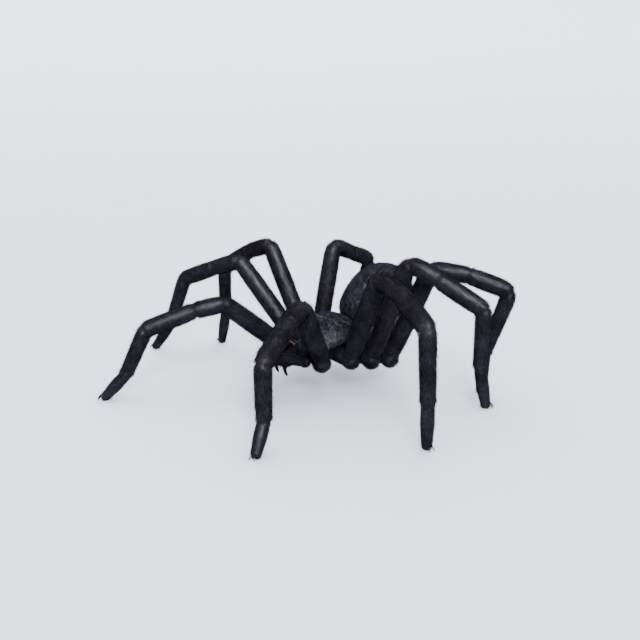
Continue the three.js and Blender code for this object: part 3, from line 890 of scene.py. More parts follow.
def fang_surface(side):
    """A fang: an oval tube on its centre line, whose radius falls from the root's with the
    0.55th power of the share still to go, to a fine blunt tip."""
    line = fang_line(side)

    def surface(u, v):
        share = np.clip((v * line.length - FANG_ROOT) / FANG["length"], 0, 1)
        size = FANG["root"] * (1 - share) ** 0.55 + 0.1 * share
        size = size * np.interp(v, [0, 0.05, 0.98, 1], [0.6, 1, 1, 0.3])
        return line.point(v * line.length, 2 * np.pi * u, size, 0.86 * size)

    return surface


def eye_surface(centre, radius):
    """A ball by latitude and longitude: sines and cosines of the two angles times its
    radius, from its centre."""

    def surface(u, v):
        tilt, angle = np.pi * v, 2 * np.pi * u
        return centre + radius * np.stack(
            [np.sin(tilt) * np.sin(angle), np.sin(tilt) * np.cos(angle), np.cos(tilt)], -1)

    return surface


def claw_surface(side, number, way):
    """One hook: an oval tube that tapers evenly on a line that runs ahead of the toe and
    aside, arches by half a sine wave and drops with the 2.2th power of the share."""
    toe = leg_line(side, number)[0].places[-1]
    outward = ahead_of(side, LEG_POSES[side][number][0])
    share = np.linspace(0, 1, 14)
    reach = CLAW["in"] + (CLAW["out"] - CLAW["in"]) * share
    aside = way * CLAW["spread"] * (reach + 1) / (CLAW["out"] + 1)
    height = CLAW["high"] + CLAW["arch"] * np.sin(np.pi * share) - CLAW["drop"] * share ** 2.2
    places = np.array([toe[0], toe[1], 0]) + reach[:, None] * outward
    places = places + aside[:, None] * np.cross(UP, outward) + height[:, None] * UP
    along = unit(np.gradient(places, axis=0))
    line = Line(places, along, upright(along))

    def surface(u, v):
        size = CLAW["root"] * (1 - v) + CLAW["tip"] * v
        size = size * np.interp(v, [0, 0.95, 1], [1, 1, 0.4])
        return line.point(v * line.length, 2 * np.pi * u, size, 0.8 * size)

    return surface


def bowl_surface(flat, rise):
    """A wide floor that curves up all round, in metres: flat to its radius, then a quarter
    of an oval 1.2 times as wide as that radius and as high as its rise."""

    def surface(u, v):
        angle = 2 * np.pi * u
        bend = np.clip((v - 0.5) / 0.5, 0, 1) * np.pi / 2
        radius = flat * np.clip(v / 0.5, 0, 1) + flat * 1.2 * np.sin(bend)
        height = rise * (1 - np.cos(bend))
        return np.stack(
            [radius * np.cos(angle), radius * np.sin(angle), height], -1) / MM - BODY_AT

    return surface


# --- Tufts ---

BAND_STEP = 1.7  # between the faint paler bands of a leg's hair
LOWEST_HAIR = 0.02  # over the floor
# A tuft's faces, its points' places in its patch of the bake map, and how far out they lie.
TUFT_QUADS = np.array([[0, 1, 4, 3], [1, 2, 5, 4], [2, 0, 3, 5]])
TUFT_TRIANGLES = np.array([[0, 2, 1], [3, 4, 6], [4, 5, 6], [5, 3, 6]])
TUFT_PATCH = np.array(
    [[0, 0], [1, 0], [0.5, 0.3], [0.05, 0.6], [0.95, 0.6], [0.5, 0.75], [0.5, 1]])
TUFT_REACH = np.array([0, 0, 0, 0.5, 0.5, 0.5, 1.0])
PATCH_SIZE = 0.003

# Each kind of hair: cells along and round its lattice of roots (on a leg, along is per
# millimetre), its width in millimetres and its lift in degrees, with any sway, sink and
# ruffle for tufts_on.
HAIR = {
    "leg": (2.35, 44, 0.2, 13, {"sway": 0.2}),
    "leg bristles": (1.2, 18, 0.14, 26, {"sway": 0.3}),
    "coxa": (38, 38, 0.2, 15, {"sway": 0.35}),
    "palp": (120, 34, 0.17, 14, {"sway": 0.35}),
    "palp bristles": (50, 16, 0.13, 34, {"sway": 0.4}),
    "palp coxa": (26, 26, 0.2, 15, {"sway": 0.35}),
    "hind body": (150, 120, 0.24, 15, {"sway": 0.3, "ruffle": 0.4}),
    "hind body bristles": (34, 26, 0.14, 27, {"sway": 0.35}),
    "spinneret": (44, 20, 0.14, 14, {}),
    "carapace": (74, 160, 0.15, 9, {"sway": 0.4, "sink": 0.05, "ruffle": 0.45}),
    "eye fringe": (74, 160, 0.1, 42, {"sway": 0.6}),
    "jaw": (60, 52, 0.16, 14, {}),
    "jaw bristles": (22, 26, 0.13, 30, {"sway": 0.4}),
}


def surface_frames(surface, u, v, nudge=1e-4):
    """At (u, v): the point, the outward normal and the direction in which v grows."""
    v = np.clip(v, 3 * nudge, 1 - 3 * nudge)
    here = surface(u, v)
    across = surface(u + nudge, v) - surface(u - nudge, v)
    along = surface(u, v + nudge) - surface(u, v - nudge)
    normal = unit(np.cross(across, along) + 1e-12)
    flow = unit(along - (along * normal).sum(-1, keepdims=True) * normal + 1e-12)
    return here, normal, flow


def scatter(rng, along, around, density=None):
    """Shares (u, v) of one root in each cell of an along by around lattice, each at a
    random place in its cell; where a density is given, cells are kept at that chance."""
    v, u = np.meshgrid(np.arange(along), np.arange(around), indexing="ij")
    v = (v.ravel() + rng.random(v.size)) / along
    u = (u.ravel() + rng.random(u.size)) / around
    if density is not None:
        kept = rng.random(u.size) < density(u, v)
        u, v = u[kept], v[kept]
    return u, v


def tufts_on(
        rng, surface, u, v, length, width, lift, sway=0.25, sink=0.08, ruffle=0.08, shade=None):
    """Seven points for each tuft, with its root's (u, v), its tone and its normals. A tuft
    is a three-sided blade that leaves the skin at its lift angle, leans a little aside,
    bends back down over its outer half and ends in a point. It is lit by the skin's own
    normal, with a small turn to each side and a chance turn of the size of ruffle, so that
    close hair shines as one sheet. Length, width and lift are arrays or numbers."""
    root, normal, flow = surface_frames(surface, u, v)
    count = len(u)

    def varied(value, low, high):
        column = np.broadcast_to(value, count)[:, None].astype(float)
        return column * rng.uniform(low, high, (count, 1))

    length = varied(length, 0.72, 1.25)
    width = varied(width, 0.8, 1.2)
    lift = np.radians(varied(lift, 0.6, 1.4))
    lean = rng.normal(0, sway, (count, 1))
    flow = unit(flow + lean * np.cross(normal, flow))
    across = np.cross(normal, flow)
    rise = length * np.sin(lift)
    base = root - sink * normal
    middle = root + 0.5 * length * flow * np.cos(lift) + 0.62 * rise * normal
    tip = root + length * flow * np.cos(lift) + rise * normal
    ridge = 0.35 * width * normal
    points = np.stack([
        base - across * width / 2, base + across * width / 2, base + ridge,
        middle - across * width * 0.42, middle + across * width * 0.42,
        middle + ridge * 0.8, tip], 1)
    tone = rng.random(count) if shade is None else shade
    aside = 0.35 * across
    turned = normal + rng.normal(0, ruffle, (count, 1)) * across
    turned = turned + rng.normal(0, ruffle, (count, 1)) * flow
    lit = np.stack([
        turned - aside, turned + aside, turned, turned - aside, turned + aside, turned,
        turned], 1)
    return points, np.stack([u, v], -1), tone, unit(lit)


def grow(rng, kind, surface, length, keep=None, per=1, thin=None, shade=None):
    """One kind of hair all over a surface. Length is a number or a function of the roots'
    (u, v), keep gives the chance of a root there, thin the share of the width and shade,
    from random numbers, the tone. Per multiplies the cells along."""
    along, around, width, lift, manner = HAIR[kind]
    u, v = scatter(rng, int(along * per), around, keep)
    if callable(length):
        length = length(u, v)
    if thin:
        width = width * thin(u, v)
    if shade:
        shade = shade(u, v, rng.random(len(u)))
    return tufts_on(rng, surface, u, v, length, width, lift, shade=shade, **manner)


def coat_piece(name, groups, finish):
    """Joins batches of tufts into one mesh with its bake map, tone and reach attributes.
    The batches of one group stand on one surface, and each group has its own band of the
    bake map, in which every tuft is a small patch at its root's place."""
    batches = [batch for group in groups for batch in group]
    bands = [band for band, group in enumerate(groups) for _ in group]
    points, homes, tones, lit = zip(*batches)
    homes = np.concatenate([
        (home + [0, band]) / [1, len(groups)] for band, home in zip(bands, homes)])
    patches = homes[:, None, :] * (1 - PATCH_SIZE) + TUFT_PATCH[None] * PATCH_SIZE
    points = np.concatenate(points).reshape(-1, 3)
    points[:, 2] = np.maximum(points[:, 2], LOWEST_HAIR)
    each = len(TUFT_PATCH)
    first = np.arange(len(homes))[:, None, None] * each
    quads = (first + TUFT_QUADS[None]).reshape(-1, 4)
    triangles = (first + TUFT_TRIANGLES[None]).reshape(-1, 3)
    piece = make_piece(
        name, points, quads, triangles, finish_of(finish),
        tone=np.repeat(np.concatenate(tones), each), reach=np.tile(TUFT_REACH, len(homes)))
    piece.data.normals_split_custom_set_from_vertices(np.concatenate(lit).reshape(-1, 3))
    layer = piece.data.uv_layers.new(name="OFBake")
    corners = np.concatenate([quads.ravel(), triangles.ravel()])
    layer.data.foreach_set("uv", patches.reshape(-1, 2)[corners].astype(np.float32).ravel())
    return ride_as(piece, "coat")


# --- Shader arithmetic ---


class Wire:
    """A shader socket that takes part in plain arithmetic. Each sign adds a Math node."""

    def __init__(self, net, socket):
        self.net = net
        self.socket = socket

    def math(self, operation, *values):
        return self.net.add(
            "ShaderNodeMath", {"operation": operation}, dict(enumerate(values)))

    def __add__(self, other):
        return self.math("ADD", self, other)

    def __radd__(self, other):
        return self.math("ADD", other, self)

    def __sub__(self, other):
        return self.math("SUBTRACT", self, other)

    def __rsub__(self, other):
        return self.math("SUBTRACT", other, self)

    def __mul__(self, other):
        return self.math("MULTIPLY", self, other)

    def __rmul__(self, other):
        return self.math("MULTIPLY", other, self)

    def sine(self):
        return self.math("SINE", self)

    def between(self, low, high):
        """0 below low, 1 above high and smooth between."""
        return self.net.add(
            "ShaderNodeMapRange", {"interpolation_type": "SMOOTHSTEP"},
            {"Value": self, "From Min": low, "From Max": high})


def as_colour(value):
    return value if isinstance(value, Wire) else (*value, 1.0)


class Net:
    """The nodes of one material, with the model's colours."""

    def __init__(self, name):
        self.material = bpy.data.materials.new(name)
        self.material.use_nodes = True
        self.tree = self.material.node_tree
        self.tree.nodes.clear()
        self.tint = bpy.context.scene.tarantula_colours

    def add(self, kind, settings=None, values=None, output=0):
        """Adds a node, sets it up and feeds its sockets with wires, numbers or colours."""
        node = self.tree.nodes.new(kind)
        for key, value in (settings or {}).items():
            setattr(node, key, value)
        for key, value in (values or {}).items():
            socket = node.inputs[key]
            if isinstance(value, Wire):
                self.tree.links.new(value.socket, socket)
            else:
                socket.default_value = value
        return Wire(self, node.outputs[output])

    def place(self):
        return self.add("ShaderNodeTexCoord", output="Object")

    def scaled(self, size):
        """The place on the animal, counted in steps of the given size (x, y, z) in metres."""
        return self.add(
            "ShaderNodeMapping", {"vector_type": "POINT"},
            {"Vector": self.place(), "Scale": [1 / s for s in size]})

    def attribute(self, name):
        return self.add("ShaderNodeAttribute", {"attribute_name": name}, output="Fac")

    def noise(self, size, detail=3.0, rough=0.55, where=None, warp=0.0):
        """Cloudy noise around 0.5 whose features have the given size in metres."""
        return self.add(
            "ShaderNodeTexNoise", {"noise_dimensions": "3D"},
            {"Vector": where or self.place(), "Scale": 1 / size, "Detail": detail,
             "Roughness": rough, "Distortion": warp})

    def cells(self, size):
        """Distance from the middles of scattered cells of the given size in metres."""
        return self.add(
            "ShaderNodeTexVoronoi", {"feature": "F1"},
            {"Vector": self.place(), "Scale": 1 / size})

    def mix(self, share, first, second):
        """A colour between two, by a share."""
        return self.add(
            "ShaderNodeMix", {"data_type": "RGBA"},
            {0: share, 6: as_colour(first), 7: as_colour(second)}, output=2)

    def bump(self, height, distance, strength):
        return self.add(
            "ShaderNodeBump", {},
            {"Height": height, "Distance": distance, "Strength": strength})

    def finish(self, **sockets):
        """The shader itself; names use _ for the blanks in the sockets' own names."""
        values = {key.replace("_", " "): value for key, value in sockets.items()}
        shader = self.add("ShaderNodeBsdfPrincipled", {}, values)
        output = self.tree.nodes.new("ShaderNodeOutputMaterial")
        self.tree.links.new(shader.socket, output.inputs["Surface"])
        return self.material


# --- Finishes ---


def patchiness(net):
    """Cloudy lighter and darker areas, the same on the skin and on the hair over it."""
    broad = net.noise(7 * MM, detail=2.0)
    fine = net.noise(1.6 * MM, detail=2.0)
    return (broad * 0.6 + fine * 0.4).between(0.36, 0.66)


def mottling(net):
    """Small strong blotches of the hind body and the carapace, on their skin and hair."""
    blotches = net.noise(1.2 * MM, detail=3.0, rough=0.6, warp=0.8)
    specks = net.noise(0.5 * MM, detail=2.0)
    return (blotches * 0.7 + specks * 0.3).between(0.49, 0.58)


def brownness(net):
    """Worn brownish patches, rare and soft."""
    return net.noise(5 * MM, detail=3.0, warp=0.6).between(0.6, 0.78)


def skin_material():
    """Black cuticle with a violet-blue cast: fine hair marks and faint rings in the bump,
    brown at the joints, bare glossy stripes on the shins, velvet soles."""
    net = Net("tarantula skin")
    tint = net.tint
    membrane, stripe, sole, ring, body = (net.attribute(name) for name in SKIN_MARKS)
    cloud = patchiness(net)
    colour = net.mix(cloud * (1 - body), tint.dark, tint.light)
    colour = net.mix(mottling(net) * body, colour, tint.shell)
    colour = net.mix(brownness(net) * 0.5, colour, tint.brown)
    colour = net.mix(membrane * 0.8, colour, tint.brown)
    colour = net.mix(stripe * 0.2, colour, tint.light)
    grain = net.noise(0.35 * MM, detail=3.0)
    rings = (ring * (2 * math.pi)).sine()
    height = grain + rings * 0.12 + net.noise(1.2 * MM, detail=2.0) * 0.8
    normal = net.bump(height, 0.06 * MM, 0.8)
    rough = net.noise(0.9 * MM, detail=2.0) * 0.14 + 0.33 - stripe * 0.12
    rough = rough + membrane * 0.2 + sole * 0.3
    return net.finish(
        Base_Color=colour, Roughness=rough, Normal=normal, Specular_IOR_Level=0.2)


def hair_material():
    """Hair of the limbs and jaws: darker at the root, each tuft with its own tone, clouded
    like the skin."""
    net = Net("tarantula hair")
    tint = net.tint
    share = patchiness(net) * 0.45 + net.attribute("tone") * 0.3 + net.attribute("reach") * 0.25
    colour = net.mix(share, tint.dark, tint.light)
    colour = net.mix(brownness(net) * 0.45, colour, tint.brown)
    return net.finish(Base_Color=colour, Roughness=0.26, Specular_IOR_Level=0.15)


def body_hair_material():
    """Hair of the hind body and the carapace, blotched like the skin under it."""
    net = Net("tarantula body hair")
    tint = net.tint
    blotches = mottling(net)
    share = blotches * 0.7 + net.attribute("tone") * 0.2 + net.attribute("reach") * 0.1
    colour = net.mix(share, tint.dark, tint.shell)
    worn = net.noise(3.5 * MM, detail=3.0, warp=0.6).between(0.5, 0.64)
    colour = net.mix(worn * 0.7, colour, net.mix(blotches, tint.dark, tint.brown))
    rough = 0.44 - blotches * 0.2
    return net.finish(Base_Color=colour, Roughness=rough, Specular_IOR_Level=0.25)


def shell_material():
    """The carapace and breast plate: satin, marbled lighter and darker, finely pitted."""
    net = Net("tarantula shell")
    tint = net.tint
    blotches = mottling(net)
    colour = net.mix(blotches, tint.dark, tint.shell)
    colour = net.mix(brownness(net) * 0.6, colour, tint.brown)
    colour = net.mix(net.attribute("mound"), colour, tint.horn)
    height = blotches * 0.8 + net.noise(0.3 * MM, detail=2.0) + net.cells(0.5 * MM) * 0.5
    normal = net.bump(height, 0.09 * MM, 0.9)
    rough = 0.44 - blotches * 0.16
    return net.finish(
        Base_Color=colour, Roughness=rough, Normal=normal, Specular_IOR_Level=0.35)


def horn_material():
    """Fangs and claws: black, polished, with faint growth lines."""
    net = Net("tarantula horn")
    tint = net.tint
    lines = net.noise(0.5 * MM, detail=2.0, where=net.scaled((4, 4, 0.6)))
    colour = net.mix(net.noise(1.5 * MM).between(0.45, 0.7), tint.horn, tint.brown)
    normal = net.bump(lines, 0.02 * MM, 0.5)
    return net.finish(
        Base_Color=colour, Roughness=0.16, Normal=normal, Specular_IOR_Level=0.6)


def eye_material():
    """Amber under a clear wet coat, with darker depths. The pale amber is partly the eyes' own
    colour and partly a painted glint.
    """
    net = Net("tarantula eye")
    depth = net.noise(0.4 * MM, detail=1.0)
    colour = net.mix(depth.between(0.5, 0.75), net.tint.eye, net.tint.brown)
    return net.finish(
        Base_Color=colour, Roughness=0.3, Specular_IOR_Level=0.8, Coat_Weight=1.0,
        Coat_Roughness=0.08, Coat_IOR=2.4)


def floor_material(colour):
    """The pale floor, a little cloudy, painted whiter as it curves up: painted light that makes
    the wall brighter towards the top.
    """
    net = Net("pale floor")
    height = net.add("ShaderNodeSeparateXYZ", {}, {"Vector": net.place()}, output=2)
    # The whitening with height is painted light, for a wall that is brighter towards the top.
    share = net.noise(0.3, detail=1.0) * 0.06 + height.between(-0.05, 0.3)
    shade = net.mix(share, tuple(colour), (1, 1, 1))
    rough = net.noise(0.02, detail=2.0) * 0.05 + 0.85
    return net.finish(Base_Color=shade, Roughness=rough, Specular_IOR_Level=0.1)


MAKERS = {
    "skin": skin_material,
    "shell": shell_material,
    "horn": horn_material,
    "eye": eye_material,
    "hair": hair_material,
    "body hair": body_hair_material,
}
MADE = {}


def finish_of(key):
    """Each finish is made once and shared."""
    if key not in MADE:
        MADE[key] = MAKERS[key]()
    return MADE[key]


# --- Pieces ---

# What the skin knows of itself: where the joints' bare skin shows, the bare stripes of a
# shin, the soles, a count of rings along a leg, and the hind body.
SKIN_MARKS = ("membrane", "stripe", "sole", "ring", "body")
RING_STEP = 0.75  # between the faint rings of a leg's skin
STRIPE = {"turn": 0.42, "half_width": 0.13}  # from the middle of the back, in radians


def coat():
    """Coat sizes in millimetres."""
    settings = bpy.context.scene.tarantula_coat
    names = ("leg_depth", "body_depth", "shell_depth", "leg_hair", "body_hair", "shell_hair")
    return {name: getattr(settings, name) / MM for name in names}


def each_leg():
    return [(side, number) for side in SIDES for number in LEGS]


def leg_marks(line, joints):
    """A leg's marks as functions of (u, v): bell curves round the joints and along the two
    stripes, smooth steps on the sole, and the rings in even steps."""
    total = reach_of(line)
    knee, _, ankle, toe_joint = joints

    def membrane(u, v):
        under = belly_share(2 * np.pi * u)
        return sum(bell(v * total - joint, 0.4 + 1.0 * under) for joint in joints).clip(0, 1)

    def stripe(u, v):
        off = np.abs(np.abs((u + 0.5) % 1 - 0.5) * 2 * np.pi - STRIPE["turn"])
        starts = smoothstep(v * total, knee + 1.5, knee + 3)
        ends = smoothstep(v * total, ankle - 4, ankle - 2)
        return bell(off, STRIPE["half_width"]) * starts * (1 - ends)

    def sole(u, v):
        under = belly_share(2 * np.pi * u)
        return smoothstep(under, 0.55, 0.85) * smoothstep(v * total, ankle + 6, toe_joint)

    def ring(u, v):
        return v * total / RING_STEP + 0 * u

    marks = {"membrane": membrane, "stripe": stripe, "sole": sole, "ring": ring}
    return {**plain_marks(), **marks}


def plain_marks(**levels):
    """The skin's marks as functions of (u, v), each even all over at its level or 0."""
    return {
        name: (lambda u, v, level=levels.get(name, 0.0): level + 0 * u)
        for name in SKIN_MARKS}


def build_skin():
    """One closed skin of trunk, hind body, legs, palps and spinnerets."""
    sizes = coat()
    depth = sizes["leg_depth"]
    trunk = tube_piece(
        "tarantula_skin", trunk_surface, 30, 48, "skin", **plain_marks(membrane=0.3))
    others = []

    def part(name, surface, rows, columns, **marks):
        others.append(tube_piece(name, surface, rows, columns, **(marks or plain_marks())))

    for side, number in each_leg():
        part("coxa", leg_coxa_surface(side, number, depth), 44, 30)
        line, joints = leg_line(side, number)
        total = reach_of(line)
        rows = crowded(0, total, 190, [*joints, total], width=1.7)
        part("leg", leg_surface(line, joints, depth), rows / total, 30,
             **leg_marks(line, joints))
    for side in SIDES:
        line = spline_line(PALP_JOINTS[side])
        rows = crowded(0, 1, 110, PALP_CREASES, width=0.04)
        part("palp_coxa", palp_coxa_surface(side, depth), 36, 24)
        part("palp", palp_surface(line, depth), rows, 24)
        part("spinneret", spinneret_surface(side), 40, 20)
    waist = rod_surface(PEDICEL["from"], PEDICEL["to"], PEDICEL["radius"])
    part("pedicel", waist, 26, 28, **plain_marks(membrane=0.5))
    part("hind", abdomen_surface(sizes["body_depth"]), np.linspace(0.004, 0.996, 90), 84,
         **plain_marks(body=1.0))
    nodes = [
        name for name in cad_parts
        if name.startswith(("leg_", "palp_", "spinneret_"))]
    ride_as(fuse(trunk, others), "coat", *nodes, "abdomen", "pedicel")


def build_carapace():
    """The carapace, with the mound of the eyes marked for its finish."""
    along = np.concatenate([
        np.linspace(0.01, RIM_V, 64), np.linspace(0.866, EDGE_V, 6),
        np.linspace(0.95, 0.995, 4)])

    def mound(u, v):
        x, y = carapace_plan(carapace_share(v), 2 * np.pi * u)
        return smoothstep(mound_share(x, y), -0.3, 0.3) * (v < RIM_V)

    piece = tube_piece(
        "tarantula_carapace", carapace_surface(coat()["shell_depth"]), along, 180,
        "shell", mound=mound)
    ride_as(piece, "shell", "carapace")


def build_sternum():
    """The breast plate and the lip ahead of it."""
    plate = tube_piece(
        "tarantula_sternum", sternum_surface, np.linspace(0.01, 0.99, 44), 72, "shell")
    lip = tube_piece(
        "tarantula_labium", labium_surface, np.linspace(0.01, 0.99, 24), 36, "shell")
    ride_as(lip, "shell")
    ride_as(plate, "shell", "sternum")


def build_jaws():
    """The bases of the two jaws and their fangs."""
    for side in SIDES:
        base = tube_piece(
            f"tarantula_jaw_{side}", chelicera_surface(side), 60, 48, "skin", **plain_marks())
        ride_as(base, "coat", f"chelicera_{side}")
        fang = tube_piece(f"tarantula_fang_{side}", fang_surface(side), 48, 20, "horn")
        ride_as(fang, "horn", f"fang_{side}")


def build_eyes():
    """Eight glossy balls, each sunk into the eye tubercle."""
    for side, way in SIDES.items():
        for place, (across, ahead, radius) in EYES.items():
            outward = np.array([way * across, -ahead, math.sqrt(1 - across ** 2 - ahead ** 2)])
            at = outward * TUBERCLE_HALF - EYE_SINK * radius * outward + TUBERCLE_AT
            centre = pitched(at[None], PROSOMA_PITCH, PROSOMA_AT)[0]
            node = f"eye_{side}_{place}"
            piece = tube_piece(
                f"tarantula_{node}", eye_surface(centre, radius), np.linspace(0.02, 0.98, 18),
                28, "eye")
            ride_as(piece, "eye", node)


def build_claws():
    """Two small hooks ahead of each toe, joined into one piece."""
    points, quads, fans, start = [], [], [], 0
    for side, number in each_leg():
        for way in (-1, 1):
            hook = claw_surface(side, number, way)
            p, q, f = closed_tube(surface_grid(hook, np.linspace(0, 1, 14), 10))
            points.append(p)
            quads.append(q + start)
            fans.append(f + start)
            start += len(p)
    piece = make_piece(
        "tarantula_claws", np.concatenate(points), np.concatenate(quads),
        np.concatenate(fans), finish_of("horn"))
    ride_as(piece, "horn")


# --- Coat ---

SEEDS = {"leg": 100, "palp": 200, "hind body": 300, "shell": 400}


def within(low, high=1.0):
    """Keeps the roots between two shares along a surface."""
    return lambda u, v: (v > low) & (v < high)


def leg_tufts(rng, side, number):
    """Tufts of a leg: short and flat, pointing to the foot, thin at the joints and fewer on
    the bare stripes, in faint bands along a sine wave, with a few longer bristles."""
    hair = coat()["leg_hair"]
    line, joints = leg_line(side, number)
    _, _, ankle, toe_joint = joints
    end, total = line.length, reach_of(line)
    surface = leg_surface(line, joints, coat()["leg_depth"])
    marks = leg_marks(line, joints)

    def density(u, v):
        bare = 0.35 * marks["stripe"](u, v) + 0.5 * marks["membrane"](u, v)
        return (1 - bare) * (v * total > 0.6) * (v < 0.997)

    def flat_length(u, v):
        return hair * np.interp(
            v * total, [0, 6, ankle, toe_joint, end - 2, total],
            [0.7, 1, 0.95, 0.8, 0.6, 0.35])

    def thin(u, v):
        return np.interp(v * total, [0, ankle, total], [1, 0.95, 0.7])

    def banded(u, v, chance):
        bands = 0.5 + 0.5 * np.sin(2 * np.pi * v * total / BAND_STEP)
        return 0.6 * chance + 0.4 * bands

    def bristle_length(u, v):
        return 1.5 * hair * np.interp(v, [0, 0.7, 1], [1, 0.9, 0.4])

    return [
        grow(rng, "leg", surface, flat_length, density, per=total, thin=thin, shade=banded),
        grow(rng, "leg bristles", surface, bristle_length, density, per=total,
             shade=lambda u, v, chance: chance * 0.5 + 0.4),
    ]


def coxa_tufts(rng, kind, surface, length):
    """Flat tufts of a coxa and its round end, left out inside the trunk."""
    return [grow(rng, kind, surface, length, within(0.2, 0.995))]


def build_leg_coat():
    """One coat for each leg and its coxa."""
    sizes = coat()
    for side, number in each_leg():
        rng = np.random.default_rng(SEEDS["leg"] + 10 * number + SIDES[side])
        leg = leg_tufts(rng, side, number)
        hip = leg_coxa_surface(side, number, sizes["leg_depth"])
        coxa = coxa_tufts(rng, "coxa", hip, 0.8 * sizes["leg_hair"])
        coat_piece(f"coat_leg_{side}_{number}", [leg, coxa], "hair")


def build_palp_coat():
    """One coat for each palp and its coxa."""
    sizes = coat()

    def length(u, v):
        return sizes["leg_hair"] * np.interp(v, [0, 0.8, 1], [0.85, 0.8, 0.4])

    for side, way in SIDES.items():
        rng = np.random.default_rng(SEEDS["palp"] + way)
        surface = palp_surface(spline_line(PALP_JOINTS[side]), sizes["leg_depth"])
        palp = [
            grow(rng, "palp", surface, length, within(0.05)),
            grow(rng, "palp bristles", surface, 1.7, within(0.1)),
        ]
        hip = palp_coxa_surface(side, sizes["leg_depth"])
        coxa = coxa_tufts(rng, "palp coxa", hip, 0.6 * sizes["leg_hair"])
        coat_piece(f"coat_palp_{side}", [palp, coxa], "hair")


def build_body_coat():
    """Hair of the hind body and spinnerets, in soft clumps that point to the rear."""
    hair = coat()["body_hair"]
    rng = np.random.default_rng(SEEDS["hind body"])
    surface = abdomen_surface(coat()["body_depth"])

    def density(u, v):
        return np.sin(np.pi * np.clip(v, 0.02, 0.98)) * (v > 0.03)

    def clumped(u, v):
        clump = 0.5 + 0.5 * np.sin(9 * v * np.pi + 5 * np.sin(2 * np.pi * 3 * u))
        return hair * (0.8 + 0.3 * clump)

    hind = [
        grow(rng, "hind body", surface, clumped, density),
        grow(rng, "hind body bristles", surface, 1.4 * hair, density,
             shade=lambda u, v, chance: chance * 0.5 + 0.45),
    ]
    fingers = [
        [grow(rng, "spinneret", spinneret_surface(side), 0.9, within(0.1))] for side in SIDES]
    coat_piece("coat_hind_body", [hind, *fingers], "body hair")


def build_shell_coat():
    """Very short flat hair of the carapace, spreading from its middle, the dark fringe round
    the eyes, and the hair of the jaws."""
    sizes = coat()
    rng = np.random.default_rng(SEEDS["shell"])
    surface = carapace_surface(sizes["shell_depth"])

    def from_mound(u, v):
        return mound_share(*carapace_plan(carapace_share(v), 2 * np.pi * u))

    def density(u, v):
        return carapace_share(v) * (v < 0.875) * (from_mound(u, v) < 0)

    def fringe(u, v):
        return (v < RIM_V) * bell(from_mound(u, v) + 0.25, 0.3)

    shell = [
        grow(rng, "carapace", surface, sizes["shell_hair"], density),
        grow(rng, "eye fringe", surface, 1.3, fringe,
             shade=lambda u, v, chance: 0.1 * chance),
    ]
    coat_piece("coat_carapace", [shell], "body hair")
    jaws = []
    for side in SIDES:
        surface = chelicera_surface(side)
        jaws.append([
            grow(rng, "jaw", surface, 1.3, within(0.05, 0.985)),
            grow(rng, "jaw bristles", surface, 2.2, within(0.3, 0.98)),
        ])
    coat_piece("coat_jaws", jaws, "hair")


# --- Stage ---

KEY_FROM = (0.71, -0.41, 0.57)
TOP_FROM = (-0.3, 0.35, 0.9)
WALL_RISE = 1.2  # metres
SENSOR = 36  # the camera's, in its own millimetres


def add_camera(stage):
    """The camera, whose lens is half its sensor over the tangent of half its field."""
    camera = bpy.data.objects.new("camera", bpy.data.cameras.new("camera"))
    bpy.context.scene.collection.objects.link(camera)
    camera.location = stage.camera_at
    camera.rotation_euler = (math.pi / 2 - stage.elevation, 0, stage.azimuth)
    camera.data.sensor_width = SENSOR
    camera.data.lens = SENSOR / 2 / math.tan(stage.field / 2)
    camera.data.clip_start = 0.01
    bpy.context.scene.camera = camera


def add_floor(stage):
    """The floor, open at the top. It isn't seen in the animal's shine."""
    along = np.concatenate([np.linspace(0.0005, 0.5, 12), np.linspace(0.52, 1, 40)])
    columns = 96
    grid = surface_grid(bowl_surface(stage.floor_radius, WALL_RISE), along, columns)
    points, quads, fans = closed_tube(grid)
    floor = make_piece(
        "floor", points[:-1], quads, fans[:columns], floor_material(stage.floor))
    floor.visible_glossy = False


def add_lights(stage):
    """Soft light from all round, and lamps that either light the animal or shine in it."""
    world = bpy.data.worlds.new("soft light")
    world.use_nodes = True
    background = world.node_tree.nodes["Background"]
    background.inputs["Color"].default_value = (*stage.sky, 1)
    background.inputs["Strength"].default_value = stage.sky_strength
    world.cycles_visibility.glossy = False
    bpy.context.scene.world = world
    lamps = {
        "key": (KEY_FROM, stage.key_strength, stage.key_angle, True),
        "shine": (KEY_FROM, stage.shine_strength, stage.key_angle, False),
        "top": (TOP_FROM, stage.fill_strength, 2 * stage.key_angle, True),
    }
    for name, (place, strength, angle, lights) in lamps.items():
        data = bpy.data.lights.new(name, "SUN")
        data.energy = strength
        data.color = stage.sky
        data.angle = angle
        lamp = bpy.data.objects.new(name, data)
        lamp.location = place
        lamp.visible_diffuse = lights
        lamp.visible_glossy = not lights
        lamp.rotation_euler = (-lamp.location).to_track_quat("-Z", "Y").to_euler()
        bpy.context.scene.collection.objects.link(lamp)


# --- Operators and panel ---


class TARANTULA_OT_stage(bpy.types.Operator):
    """Sets up the camera, the pale floor and the soft lights"""

    bl_idname = "tarantula.stage"
    bl_label = "Stage"

    def execute(self, context):
        stage = context.scene.tarantula_stage
        add_camera(stage)
        add_floor(stage)
        add_lights(stage)
        return {"FINISHED"}


class TARANTULA_OT_skin(bpy.types.Operator):
    """Fuses trunk, hind body, legs, palps and spinnerets into one skin"""

    bl_idname = "tarantula.skin"
    bl_label = "Skin"

    def execute(self, context):
        build_skin()
        return {"FINISHED"}


class TARANTULA_OT_shell(bpy.types.Operator):
    """Makes the carapace, the breast plate and the labium"""

    bl_idname = "tarantula.shell"
    bl_label = "Carapace and breast plate"

    def execute(self, context):
        build_carapace()
        build_sternum()
        return {"FINISHED"}


class TARANTULA_OT_jaws(bpy.types.Operator):
    """Makes the two jaws and their fangs"""

    bl_idname = "tarantula.jaws"
    bl_label = "Jaws and fangs"

    def execute(self, context):
        build_jaws()
        return {"FINISHED"}


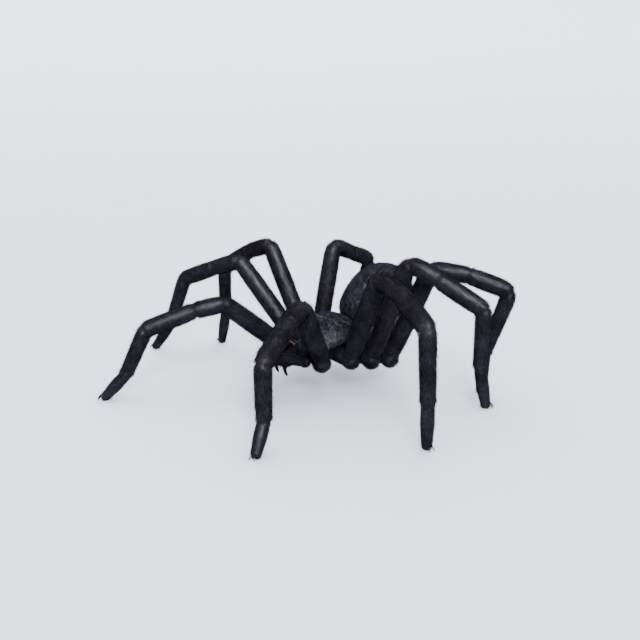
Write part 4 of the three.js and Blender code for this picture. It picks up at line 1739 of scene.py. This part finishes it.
class TARANTULA_OT_eyes(bpy.types.Operator):
    """Makes the eight eyes on their tubercle"""

    bl_idname = "tarantula.eyes"
    bl_label = "Eyes"

    def execute(self, context):
        build_eyes()
        return {"FINISHED"}


class TARANTULA_OT_claws(bpy.types.Operator):
    """Makes the paired claws of the eight feet"""

    bl_idname = "tarantula.claws"
    bl_label = "Claws"

    def execute(self, context):
        build_claws()
        return {"FINISHED"}


class TARANTULA_OT_leg_coat(bpy.types.Operator):
    """Covers the legs and palps with tufts"""

    bl_idname = "tarantula.leg_coat"
    bl_label = "Coat of the legs"

    def execute(self, context):
        build_leg_coat()
        build_palp_coat()
        return {"FINISHED"}


class TARANTULA_OT_body_coat(bpy.types.Operator):
    """Covers the hind body, the carapace and the jaws with tufts"""

    bl_idname = "tarantula.body_coat"
    bl_label = "Coat of the body"

    def execute(self, context):
        build_body_coat()
        build_shell_coat()
        return {"FINISHED"}


STEPS = (
    TARANTULA_OT_stage,
    TARANTULA_OT_skin,
    TARANTULA_OT_shell,
    TARANTULA_OT_jaws,
    TARANTULA_OT_eyes,
    TARANTULA_OT_claws,
    TARANTULA_OT_leg_coat,
    TARANTULA_OT_body_coat,
)
SETTINGS = {
    "tarantula_coat": TarantulaCoat,
    "tarantula_colours": TarantulaColours,
    "tarantula_stage": TarantulaStage,
}


class TARANTULA_PT_panel(bpy.types.Panel):
    """Lists the steps and settings in the sidebar"""

    bl_idname = "TARANTULA_PT_panel"
    bl_label = "Tarantula"
    bl_space_type = "VIEW_3D"
    bl_region_type = "UI"
    bl_category = "Tarantula"

    def draw(self, context):
        for step in STEPS:
            self.layout.operator(step.bl_idname)
        for name, group in SETTINGS.items():
            box = self.layout.box()
            for setting in group.__annotations__:
                box.prop(getattr(context.scene, name), setting)


def register():
    for cls in (*SETTINGS.values(), *STEPS, TARANTULA_PT_panel):
        bpy.utils.register_class(cls)
    for name, group in SETTINGS.items():
        setattr(bpy.types.Scene, name, bpy.props.PointerProperty(type=group))


def unregister():
    for name in SETTINGS:
        delattr(bpy.types.Scene, name)
    for cls in reversed((*SETTINGS.values(), *STEPS, TARANTULA_PT_panel)):
        bpy.utils.unregister_class(cls)


def main():
    register()
    for step in STEPS:
        group, name = step.bl_idname.split(".")
        getattr(getattr(bpy.ops, group), name)()


if __name__ == "__main__":
    main()
